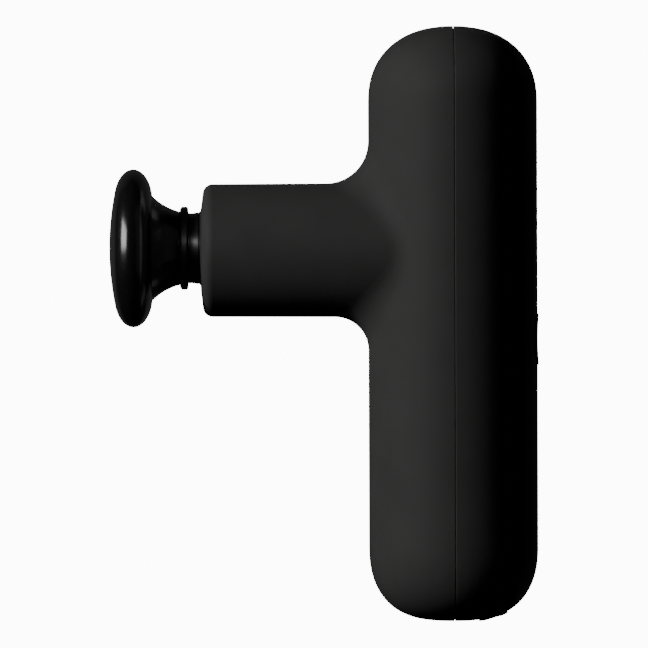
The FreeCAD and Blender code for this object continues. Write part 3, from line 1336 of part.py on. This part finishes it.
NODES = {
    "front_shell": front_shell,
    "rear_shell": rear_shell,
    "spine_cover": spine_cover,
    "port_collar": port_collar,
    "light_pipes": light_pipes,
    "shell_screws": shell_screws,
    "power_button": power_button,
    "power_switch": power_switch,
    "switch_actuator": switch_actuator,
    "dust_boot": dust_boot,
    "boot_retainer": boot_retainer,
    "guide_sleeve": guide_sleeve,
    "front_guide_bush": lambda: guide_bush(FRONT_BUSH_SETBACK),
    "rear_guide_bush": lambda: guide_bush(REAR_BUSH_SETBACK),
    "neck_damping_rings": neck_damping_rings,
    "sleeve_screws": sleeve_screws,
    "drive_frame": drive_frame,
    "frame_screws": frame_screws,
    "frame_grommets": frame_grommets,
    "motor_base": motor_base,
    "motor_base_screws": motor_base_screws,
    "motor_bearings": motor_bearings,
    "stator_core": stator_core,
    "stator_windings": stator_windings,
    "rotor_can": rotor_can,
    "rotor_magnets": rotor_magnets,
    "motor_shaft": motor_shaft,
    "crank_disc": crank_disc,
    "counterweight": counterweight,
    "counterweight_screws": counterweight_screws,
    "crank_grub_screw": crank_grub_screw,
    "connecting_rod": connecting_rod,
    "crank_pin": crank_pin,
    "crank_pin_bearing": crank_pin_bearing,
    "plunger_tube": plunger_tube,
    "wrist_pin": wrist_pin,
    "massage_head": massage_head,
    "head_stem": head_stem,
    "stem_o_rings": stem_o_rings,
    "battery_cell_left": lambda: battery_cell(-1),
    "battery_cell_right": lambda: battery_cell(1),
    "battery_wrap": battery_wrap,
    "nickel_straps": nickel_straps,
    "cell_holder_bottom": lambda: cell_holder(CELL_BASE_Z - STRAP_T - SEAT - HOLDER_T, True),
    "cell_holder_top": lambda: cell_holder(CELL_TOP_Z + STRAP_T + SEAT, False),
    "battery_pad": battery_pad,
    "main_board": main_board,
    "board_screws": board_screws,
    "board_components": board_components,
    "status_leds": status_leds,
    "wire_connectors": wire_connectors,
    "usb_socket": usb_socket,
    "motor_leads": motor_leads,
    "battery_leads": battery_leads,
}


def main():
    os.makedirs("parts", exist_ok=True)
    for name, build in NODES.items():
        shape = build()
        if not shape.isValid():
            print("invalid shape:", name)
        print(name, len(shape.Solids), round(sum(s.Volume for s in shape.Solids), 1))
        shape.exportStep("parts/%s.step" % name)


main()
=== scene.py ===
"""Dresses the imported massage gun: materials, the dust boot's soft skin, studio light and the camera."""

import json
import math
from collections import namedtuple

import bmesh
import bpy
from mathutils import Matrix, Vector


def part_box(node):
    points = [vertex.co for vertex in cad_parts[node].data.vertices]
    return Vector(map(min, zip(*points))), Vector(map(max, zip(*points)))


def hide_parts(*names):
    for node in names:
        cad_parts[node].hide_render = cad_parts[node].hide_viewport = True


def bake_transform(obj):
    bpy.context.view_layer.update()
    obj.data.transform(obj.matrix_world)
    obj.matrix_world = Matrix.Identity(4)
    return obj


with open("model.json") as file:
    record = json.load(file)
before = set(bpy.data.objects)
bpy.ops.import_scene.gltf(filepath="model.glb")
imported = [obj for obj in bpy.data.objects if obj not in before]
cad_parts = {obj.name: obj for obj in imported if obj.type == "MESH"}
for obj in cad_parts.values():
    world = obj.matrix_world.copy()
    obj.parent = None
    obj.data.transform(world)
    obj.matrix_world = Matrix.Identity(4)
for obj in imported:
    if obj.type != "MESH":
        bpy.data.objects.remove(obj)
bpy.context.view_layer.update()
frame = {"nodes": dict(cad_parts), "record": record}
MM = 0.001

# ---- Camera and stage ----------------------------------------------------------------------------
VIEW_WIDTH = 163.4 * MM  # width of the picture in the handle's plane
VIEW_CENTRE = Vector((-32.55 * MM, 0, 31.95 * MM))
CAMERA_DISTANCE = 2.6
CAMERA_ROLL = math.radians(0.16)
CAMERA_NEAR = 0.05
CAMERA_FAR = 40
SENSOR = 36.0
FLOOR_DROP = 0.16  # floor below the origin
STAGE_RADIUS = 5.0
STAGE_FLAT = STAGE_RADIUS * 0.7  # radius of the flat floor, before it bends up
STAGE_BEND = STAGE_RADIUS * 0.3
STAGE_PEAK = STAGE_RADIUS * 1.4
STAGE_PEAK_R = 0.01
STAGE_TURNS = 64
STAGE_BEND_STEPS = 12
STAGE_GLOW = 12.0

# ---- Lights --------------------------------------------------------------------------------------
LIGHT_TARGET = Vector((-20 * MM, 0, 45 * MM))
AIR_GLOW = 0.008
SHELLS = ("front_shell", "rear_shell")

# direction as seen from the target; distance, width and height in metres; power in watts
Softbox = namedtuple("Softbox", "name direction distance width height power")
KEY_SOFTBOX = Softbox("key_softbox", (-0.80, -0.49, 0.32), 1.3, 0.18, 0.18, 24.6)
BACK_SOFTBOX = Softbox("back_softbox", (0.2, 0.95, 0.2), 1.4, 0.7, 0.9, 24.0)
SHELL_SHEEN = Softbox("shell_sheen", (-0.66, -0.68, 0.33), 1.3, 0.40, 0.40, 17.0)
COLLAR_SHEEN = Softbox("collar_sheen", (-0.47, -0.81, 0.32), 1.3, 0.30, 0.20, 3.8)
COLLAR_FILL = Softbox("collar_fill", (-0.05, -0.92, 0.38), 1.3, 0.25, 0.10, 0.8)
EDGE_PANEL = Softbox("edge_panel", (0.1, 0.9, 0.3), 1.2, 2.5, 2.0, 0.8)
SIDE_SOFTBOX = Softbox("side_softbox", (-0.95, -0.27, 0.20), 0.9, 0.60, 0.36, 9.0)
HEAD_FILL = Softbox("head_fill", (0.85, -0.53, 0.2), 1.0, 0.90, 1.80, 0.50)

# a bow of small lights that the head's rim reflects as one thin line
STRIP_TILT = math.radians(38)  # slant of the rim where the line shows
STRIP_BOW = math.radians(25)  # how fast that slant grows towards the line's ends
STRIP_LEAN = math.radians(10)  # turn about the head's axis from one light to the next
STRIP_DISTANCE = 1.0
STRIP_WIDTH = 0.34
STRIP_HEIGHT = 0.36
STRIP_POWERS = (0.10, 0.11, 0.09, 0.075, 0.08, 0.12, 0.16, 0.16, 0.15)  # from the lowest up

# ---- Dust boot (millimetres) ---------------------------------------------------------------------
CUFF_R = 8.9
BEAD = ((0.0, 0.25), (0.08, 0.09), (0.25, 0.0))  # round front edge: behind the front, below CUFF_R
WALL_START = 0.5  # behind the front
WALL_STEPS = 14
BOW = 0.07  # hollow in the middle of the cuff
BOW_SPREAD = 1.4  # the bow ends at one part in this of the wall
FLARE = 0.22  # growth of the cuff towards the crease
CREASE = 0.22
CREASE_RUN = 0.12
SKIRT_RISE = 0.08  # the skirt's foot above the flared cuff
SKIRT_T = 0.5
SKIRT_R = 9.85
SKIRT_STEPS = 5
SKIRT_TO_NECK = 0.02
NECK_HOLE_R = 9.3
NECK_HOLE_FIT = 0.1
ANCHOR_R = 10.9
ANCHOR_T = 0.9
BOOT_BORE_R = 7.5
BORE_STEPS = 12
LATHE_TURNS = 128
SHARP_EDGE = math.radians(50)

# ---- Colours (linear) ----------------------------------------------------------------------------
SHELL_COLOUR = (0.0290, 0.0290, 0.0286)
BLACK = (0.0035, 0.0035, 0.0037)
DUST = (0.05, 0.05, 0.05)
MILKY_DARK = (0.55, 0.57, 0.58)
MILKY_LIGHT = (0.72, 0.74, 0.75)

# ---- Surface detail ------------------------------------------------------------------------------
FINE = 2.0  # octaves of a fine noise
MARKED = 3.0  # octaves of tool marks
CLOUDY = 4.0  # octaves of clouds
CLOUD_GRAINS = 45  # width of a cloudy handling mark, in grains
CLOUD_DEPTH = 0.6  # in grains
CLOUD_STRENGTH = 0.12
GRAIN_STRENGTH = 0.5
MARK_CLOUD = 30  # width of a metal's tone cloud, in tool marks
MARK_DEPTH = 0.15  # in tool marks
MARK_STRENGTH = 0.3
METAL_DARKEST = 0.86
SPECK = 0.25 * MM
SPECK_DEPTH = 0.003 * MM
SPECK_SPAN = (0.62, 0.75)  # noise that starts and completes a speck
SCUFF = 1.6 * MM
SCUFF_LEAST = 0.9  # share of the roughness between scuffs and on them
SCUFF_MOST = 1.12
RIPPLE_DEPTH = 0.004  # in ripples
POLISH_STRENGTH = 0.2
COAT_ROUGH = 0.08
FROST = 0.2 * MM
FROST_DEPTH = 0.01 * MM
FROST_STRENGTH = 0.3
FROST_ROUGH = (0.3, 0.45)

# stretch of the tool marks along X, Y and Z
TURNED = (1.0, 12.0, 1.0)
DRAWN = (1.0, 1.0, 0.1)
STACKED = (0.1, 0.1, 1.0)
EVEN = (1.0, 1.0, 1.0)


# ---- Node helpers --------------------------------------------------------------------------------
class Graph:
    """Short calls for building one material's node tree."""

    def __init__(self, name):
        self.material = bpy.data.materials.new(name)
        self.material.use_nodes = True
        self.tree = self.material.node_tree
        self.shader = self.tree.nodes["Principled BSDF"]
        self.place = self.tree.nodes.new("ShaderNodeTexCoord").outputs["Object"]

    def node(self, kind, **values):
        made = self.tree.nodes.new(kind)
        for key, value in values.items():
            setattr(made, key, value)
        return made

    def link(self, output, target):
        self.tree.links.new(output, target)

    def feed(self, socket, output):
        """Links an output to one of the shader's own sockets."""
        self.link(output, self.shader.inputs[socket])

    def set(self, **values):
        for key, value in values.items():
            self.shader.inputs[key.replace("_", " ")].default_value = value

    def noise(self, size, detail, stretch=None):
        """Noise whose features are about size metres across."""
        made = self.node("ShaderNodeTexNoise")
        made.inputs["Scale"].default_value = 1.0 / size
        made.inputs["Detail"].default_value = detail
        place = self.place
        if stretch:
            mapping = self.node("ShaderNodeMapping")
            mapping.inputs["Scale"].default_value = stretch
            self.link(place, mapping.inputs["Vector"])
            place = mapping.outputs["Vector"]
        self.link(place, made.inputs["Vector"])
        return made.outputs["Fac"]

    def span(self, value, low, high, start=0.3, end=0.7):
        """value, clamped from start to end, as a number from low to high."""
        made = self.node("ShaderNodeMapRange")
        made.inputs["From Min"].default_value = start
        made.inputs["From Max"].default_value = end
        made.inputs["To Min"].default_value = low
        made.inputs["To Max"].default_value = high
        self.link(value, made.inputs["Value"])
        return made.outputs["Result"]

    def tint(self, value, dark, light):
        made = self.node("ShaderNodeMix", data_type="RGBA")
        made.inputs["A"].default_value = (*dark, 1.0)
        made.inputs["B"].default_value = (*light, 1.0)
        self.link(value, made.inputs["Factor"])
        return made.outputs["Result"]

    def bump(self, *layers):
        """Stacks bumps: each layer is (height, depth in metres, strength)."""
        normal = None
        for height, depth, strength in layers:
            made = self.node("ShaderNodeBump")
            made.inputs["Distance"].default_value = depth
            made.inputs["Strength"].default_value = strength
            self.link(height, made.inputs["Height"])
            if normal is not None:
                self.link(normal, made.inputs["Normal"])
            normal = made.outputs["Normal"]
        self.feed("Normal", normal)


def scaled(colour, factor):
    return tuple(c * factor for c in colour)


# ---- Kinds of finish -----------------------------------------------------------------------------
def moulded(name, colour, rough, grain, depth, mottle=0.12, rough_spread=0.06, specular=0.5):
    """Moulded plastic: a fine spark-eroded grain, cloudy handling marks and a slight change of tone."""
    g = Graph(name)
    g.set(Metallic=0.0, Specular_IOR_Level=specular)
    fine = g.noise(grain, FINE)
    cloud = g.noise(grain * CLOUD_GRAINS, CLOUDY)
    tone = g.span(cloud, 0.0, 1.0)
    g.feed("Base Color", g.tint(tone, scaled(colour, 1 - mottle), scaled(colour, 1 + mottle)))
    g.feed("Roughness", g.span(cloud, rough - rough_spread, rough + rough_spread))
    g.bump((cloud, grain * CLOUD_DEPTH, CLOUD_STRENGTH), (fine, depth, GRAIN_STRENGTH))
    return g.material


def metal(name, colour, rough, mark, stretch, rough_spread=0.08):
    """Turned, cast or drawn metal with directional tool marks."""
    g = Graph(name)
    g.set(Metallic=1.0)
    marks = g.noise(mark, MARKED, stretch)
    cloud = g.noise(mark * MARK_CLOUD, MARKED)
    g.feed("Base Color", g.tint(g.span(cloud, 0.0, 1.0), scaled(colour, METAL_DARKEST), colour))
    g.feed("Roughness", g.span(marks, rough - rough_spread, rough + rough_spread))
    g.bump((marks, mark * MARK_DEPTH, MARK_STRENGTH))
    return g.material


def glossy(name, colour, rough, ripple, coat=0.0, dust=0.0):
    """Polished plastic with a faint moulding ripple, fine scuffs and a trace of dust."""
    g = Graph(name)
    g.set(Metallic=0.0, Specular_IOR_Level=0.5, Coat_Weight=coat, Coat_Roughness=COAT_ROUGH)
    waves = g.noise(ripple, FINE)
    specks = g.noise(SPECK, FINE)
    scuffs = g.noise(SCUFF, CLOUDY)
    g.feed("Base Color", g.tint(g.span(specks, 0.0, dust, *SPECK_SPAN), colour, DUST))
    g.feed("Roughness", g.span(scuffs, rough * SCUFF_LEAST, rough * SCUFF_MOST))
    g.bump((waves, ripple * RIPPLE_DEPTH, POLISH_STRENGTH), (specks, SPECK_DEPTH, POLISH_STRENGTH))
    return g.material


def frosted(name):
    """Frosted light pipe, a little milky."""
    g = Graph(name)
    g.set(Transmission_Weight=0.35, IOR=1.49, Metallic=0.0)
    grain = g.noise(FROST, FINE)
    g.feed("Base Color", g.tint(g.span(grain, 0.0, 1.0), MILKY_DARK, MILKY_LIGHT))
    g.feed("Roughness", g.span(grain, *FROST_ROUGH))
    g.bump((grain, FROST_DEPTH, FROST_STRENGTH))
    return g.material


# ---- Materials -----------------------------------------------------------------------------------
SOFT_TOUCH = {"mottle": 0.05, "rough_spread": 0.05, "specular": 0.05}
# moulded: colour, roughness, grain and its depth in mm, then what differs from the usual
MOULDED = {
    "soft_touch_shell": (SHELL_COLOUR, 0.6, 0.22, 0.012, SOFT_TOUCH),
    "trim_satin": ((0.010, 0.010, 0.011), 0.38, 0.18, 0.006, {}),
    "button_satin": ((0.032, 0.032, 0.033), 0.42, 0.15, 0.005, {}),
    "switch_case": ((0.02, 0.02, 0.02), 0.5, 0.15, 0.01, {}),
    "switch_plunger": ((0.6, 0.57, 0.5), 0.45, 0.15, 0.008, {}),
    "silicone": ((0.006, 0.006, 0.0062), 0.36, 0.3, 0.006, {"mottle": 0.2}),
    "damping_rubber": ((0.015, 0.015, 0.015), 0.75, 0.3, 0.02, {}),
    "foam": ((0.04, 0.04, 0.042), 0.95, 0.5, 0.12, {"mottle": 0.3}),
    "engineering_plastic": ((0.05, 0.05, 0.052), 0.5, 0.3, 0.02, {}),
    "bush_polymer": ((0.68, 0.65, 0.56), 0.35, 0.3, 0.008, {}),
    "stem_black": ((0.006, 0.006, 0.0062), 0.40, 0.3, 0.006, {"mottle": 0.2}),
    "chip_black": ((0.015, 0.015, 0.015), 0.55, 0.12, 0.008, {}),
    "led_white": ((0.85, 0.82, 0.62), 0.35, 0.2, 0.004, {"mottle": 0.04}),
    "connector_white": ((0.78, 0.75, 0.66), 0.42, 0.25, 0.01, {"mottle": 0.04}),
    "wire_insulation": ((0.012, 0.012, 0.012), 0.5, 0.4, 0.01, {}),
}
# metal: colour, roughness, width of a tool mark in mm, stretch, then what differs from the usual
METAL = {
    "screw_zinc": ((0.6, 0.6, 0.62), 0.32, 0.15, TURNED, {}),
    "screw_black": ((0.06, 0.06, 0.062), 0.4, 0.15, TURNED, {}),
    "cast_alloy": ((0.55, 0.55, 0.57), 0.48, 0.5, EVEN, {"rough_spread": 0.12}),
    "turned_alloy": ((0.70, 0.70, 0.73), 0.27, 0.12, TURNED, {}),
    "ground_steel": ((0.68, 0.68, 0.68), 0.14, 0.1, DRAWN, {}),
    "bearing_steel": ((0.66, 0.66, 0.66), 0.12, 0.1, EVEN, {"rough_spread": 0.04}),
    "lamination": ((0.25, 0.25, 0.26), 0.45, 0.35, STACKED, {}),
    "copper": ((0.72, 0.30, 0.13), 0.28, 0.4, STACKED, {}),
    "magnet": ((0.5, 0.5, 0.52), 0.22, 0.3, EVEN, {}),
    "brass_weight": ((0.66, 0.48, 0.22), 0.3, 0.12, TURNED, {}),
    "cell_steel": ((0.58, 0.58, 0.58), 0.28, 0.2, DRAWN, {}),
    "nickel": ((0.62, 0.6, 0.56), 0.3, 0.2, EVEN, {}),
    "usb_steel": ((0.6, 0.6, 0.61), 0.24, 0.15, DRAWN, {}),
}
# glossy: colour, roughness, width of a ripple in mm, clear coat, dust
GLOSSY = {
    "panel_gloss": (BLACK, 0.10, 9, 0.6, 0.35),
    "head_gloss": (BLACK, 0.22, 4, 0.0, 0.12),
    "pvc_wrap": ((0.02, 0.09, 0.24), 0.22, 6, 0.0, 0.1),
    "circuit_board": ((0.008, 0.06, 0.02), 0.3, 2, 0.2, 0.2),
}


def make_materials():
    made = {"light_pipe": frosted("light_pipe")}
    for name, (colour, rough, grain, depth, more) in MOULDED.items():
        made[name] = moulded(name, colour, rough, grain * MM, depth * MM, **more)
    for name, (colour, rough, mark, stretch, more) in METAL.items():
        made[name] = metal(name, colour, rough, mark * MM, stretch, **more)
    for name, (colour, rough, ripple, coat, dust) in GLOSSY.items():
        made[name] = glossy(name, colour, rough, ripple * MM, coat, dust)
    return made


def dress(materials):
    for part in frame["record"]["subparts"]:
        node = frame["nodes"][part["node"]]
        finish = materials[part["material_slot"]]
        if not node.material_slots:
            node.data.materials.append(finish)
        for entry in node.material_slots:
            entry.material = finish


# ---- Dust boot -----------------------------------------------------------------------------------
def ring_faces(rings, turns, first, closed):
    """Quads between neighbouring rings of turns points each, the first ring's first point given."""
    faces = []
    for row in range(rings if closed else rings - 1):
        here = first + row * turns
        there = first + (row + 1) % rings * turns
        for k in range(turns):
            after = (k + 1) % turns
            faces.append((here + k, here + after, there + after, there + k))
    return faces


def lathe(name, profile, centre_z):
    """Closed solid of revolution about the plunger's axis, from a closed profile of (x, radius) in mm."""
    points = []
    for x, radius in profile:
        for k in range(LATHE_TURNS):
            turn = 2 * math.pi * k / LATHE_TURNS
            z = centre_z + radius * MM * math.sin(turn)
            points.append((x * MM, radius * MM * math.cos(turn), z))
    mesh = bpy.data.meshes.new(name)
    mesh.from_pydata(points, [], ring_faces(len(profile), LATHE_TURNS, 0, True))
    mesh.update()
    bm = bmesh.new()
    bm.from_mesh(mesh)
    bmesh.ops.recalc_face_normals(bm, faces=bm.faces)
    bm.to_mesh(mesh)
    bm.free()
    mesh.polygons.foreach_set("use_smooth", [True] * len(mesh.polygons))
    mesh.set_sharp_from_angle(angle=SHARP_EDGE)
    made = bpy.data.objects.new(name, mesh)
    bpy.context.collection.objects.link(made)
    return made


def boot_profile(front, face, back):
    """Section of the boot: bead at the cuff, bowed wall, crease, skirt on the neck, and inner flange."""
    crease = face - SKIRT_T
    outer = [(front + behind, CUFF_R - below) for behind, below in BEAD]
    wall_start = front + WALL_START
    for i in range(WALL_STEPS + 1):
        share = i / WALL_STEPS
        x = wall_start + (crease - CREASE_RUN - wall_start) * share
        hollow = BOW * math.sin(math.pi * min(share * BOW_SPREAD, 1.0))
        outer.append((x, CUFF_R - hollow + FLARE * share**3))
    foot_x = crease + CREASE_RUN
    foot_r = CUFF_R + FLARE + SKIRT_RISE
    outer += [(crease, CUFF_R + FLARE - CREASE), (foot_x, foot_r)]
    lip_x = face - SKIRT_TO_NECK
    for i in range(1, SKIRT_STEPS + 1):
        lean = math.pi / 2 * i / SKIRT_STEPS
        radius = SKIRT_R - (SKIRT_R - foot_r) * math.cos(lean)
        outer.append((foot_x + (lip_x - foot_x) * math.sin(lean), radius))
    hole_r = NECK_HOLE_R - NECK_HOLE_FIT
    inner = [
        (lip_x, hole_r),
        (back - ANCHOR_T, hole_r),
        (back - ANCHOR_T, ANCHOR_R),
        (back, ANCHOR_R),
        (back, BOOT_BORE_R),
    ]
    for i in range(1, BORE_STEPS + 1):
        inner.append((back + (front - back) * i / BORE_STEPS, BOOT_BORE_R))
    return outer + inner


def make_boot(materials):
    low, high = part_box("dust_boot")
    neck_low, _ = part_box("front_shell")
    middle = (low[2] + high[2]) / 2
    face = neck_low[0] / MM
    skin = lathe("boot_skin", boot_profile(low[0] / MM, face, high[0] / MM), middle)
    skin.data.materials.append(materials["silicone"])
    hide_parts("dust_boot")
    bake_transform(skin)


# ---- Studio --------------------------------------------------------------------------------------
def group(label, names):
    made = bpy.data.collections.new(label)
    for name in names:
        made.objects.link(bpy.data.objects[name])
    return made


def add_softbox(box, reflected_by=None, through_others=False):
    """Adds an area light that faces the target.

    Without reflected_by it lights every piece and shows in no reflection. With it, it is only a
    reflection in the named objects. through_others lets nothing else stand in its way.
    """
    data = bpy.data.lights.new(box.name, "AREA")
    data.shape = "RECTANGLE"
    data.size = box.width
    data.size_y = box.height
    data.energy = box.power
    light = bpy.data.objects.new(box.name, data)
    way = Vector(box.direction).normalized()
    light.location = LIGHT_TARGET + way * box.distance
    light.rotation_euler = (-way).to_track_quat("-Z", "Y").to_euler()
    light.visible_glossy = reflected_by is not None
    light.visible_diffuse = reflected_by is None
    bpy.context.collection.objects.link(light)
    if reflected_by is not None:
        light.light_linking.receiver_collection = group(box.name + "_reach", reflected_by)
    if through_others:
        light.light_linking.blocker_collection = group(box.name + "_blockers", reflected_by)


def strip_softboxes():
    """Lights that stand where the head's rim mirrors them to the camera along one line of its back."""
    middle = len(STRIP_POWERS) // 2
    for number, power in enumerate(STRIP_POWERS):
        lean = STRIP_LEAN * (number - middle)
        slant = STRIP_TILT + STRIP_BOW * (1 - math.cos(lean))
        across = math.cos(slant) * math.cos(lean)
        side = 2 * math.sin(slant) * across
        up = 2 * math.cos(slant) * across * math.sin(lean)
        direction = (side, 1 - 2 * across**2, up)
        yield Softbox("strip_%d" % number, direction, STRIP_DISTANCE, STRIP_WIDTH, STRIP_HEIGHT, power)


def make_lights():
    shells = [frame["nodes"][name].name for name in SHELLS]
    head = [frame["nodes"]["massage_head"].name]
    collar = [frame["nodes"]["head_stem"].name, "boot_skin"]
    others = [o.name for o in bpy.data.objects if o.type == "MESH" and o.name not in shells]
    add_softbox(KEY_SOFTBOX)
    add_softbox(SHELL_SHEEN, shells)
    add_softbox(COLLAR_SHEEN, collar)
    add_softbox(COLLAR_FILL, collar)
    add_softbox(EDGE_PANEL, collar + head)
    add_softbox(SIDE_SOFTBOX, others)
    add_softbox(HEAD_FILL, others)
    for box in strip_softboxes():
        add_softbox(box, head, through_others=True)
    add_softbox(BACK_SOFTBOX)
    air = bpy.data.worlds.new("studio_air")
    air.use_nodes = True
    background = air.node_tree.nodes["Background"]
    background.inputs["Color"].default_value = (1, 1, 1, 1)
    background.inputs["Strength"].default_value = AIR_GLOW
    bpy.context.scene.world = air


def stage_material(name):
    material = bpy.data.materials.new(name)
    material.use_nodes = True
    tree = material.node_tree
    tree.nodes.clear()
    out = tree.nodes.new("ShaderNodeOutputMaterial")
    glow = tree.nodes.new("ShaderNodeEmission")
    glow.inputs["Color"].default_value = (1, 1, 1, 1)
    glow.inputs["Strength"].default_value = STAGE_GLOW
    tree.links.new(glow.outputs[0], out.inputs["Surface"])
    return material


def make_stage():
    """A flat pale floor that runs into a round backdrop on every side and throws no light on the gun."""
    rings = [(STAGE_FLAT, -FLOOR_DROP)]
    for i in range(1, STAGE_BEND_STEPS + 1):
        lean = math.pi / 2 * i / STAGE_BEND_STEPS
        height = STAGE_BEND * (1 - math.cos(lean)) - FLOOR_DROP
        rings.append((STAGE_FLAT + STAGE_BEND * math.sin(lean), height))
    rings += [(STAGE_RADIUS, STAGE_RADIUS), (STAGE_PEAK_R, STAGE_PEAK)]
    points = [(0, 0, -FLOOR_DROP)]
    for radius, height in rings:
        for k in range(STAGE_TURNS):
            turn = 2 * math.pi * k / STAGE_TURNS
            points.append((radius * math.cos(turn), radius * math.sin(turn), height))
    faces = [(0, 1 + k, 1 + (k + 1) % STAGE_TURNS) for k in range(STAGE_TURNS)]
    faces += ring_faces(len(rings), STAGE_TURNS, 1, False)
    mesh = bpy.data.meshes.new("studio_floor")
    mesh.from_pydata(points, [], faces)
    mesh.materials.append(stage_material("studio_floor"))
    stage = bpy.data.objects.new("studio_floor", mesh)
    stage.visible_diffuse = False
    stage.visible_glossy = False
    stage.visible_transmission = False
    stage.visible_shadow = False
    bpy.context.collection.objects.link(stage)


def make_camera():
    data = bpy.data.cameras.new("front_camera")
    data.sensor_width = SENSOR
    data.lens = SENSOR * CAMERA_DISTANCE / VIEW_WIDTH
    data.clip_start = CAMERA_NEAR
    data.clip_end = CAMERA_FAR
    camera = bpy.data.objects.new("front_camera", data)
    camera.location = VIEW_CENTRE + Vector((0, -CAMERA_DISTANCE, 0))
    camera.rotation_euler = (math.pi / 2, CAMERA_ROLL, 0)
    bpy.context.collection.objects.link(camera)
    bpy.context.scene.camera = camera


materials = make_materials()
dress(materials)
make_boot(materials)
make_lights()
make_stage()
make_camera()
bpy.context.view_layer.update()
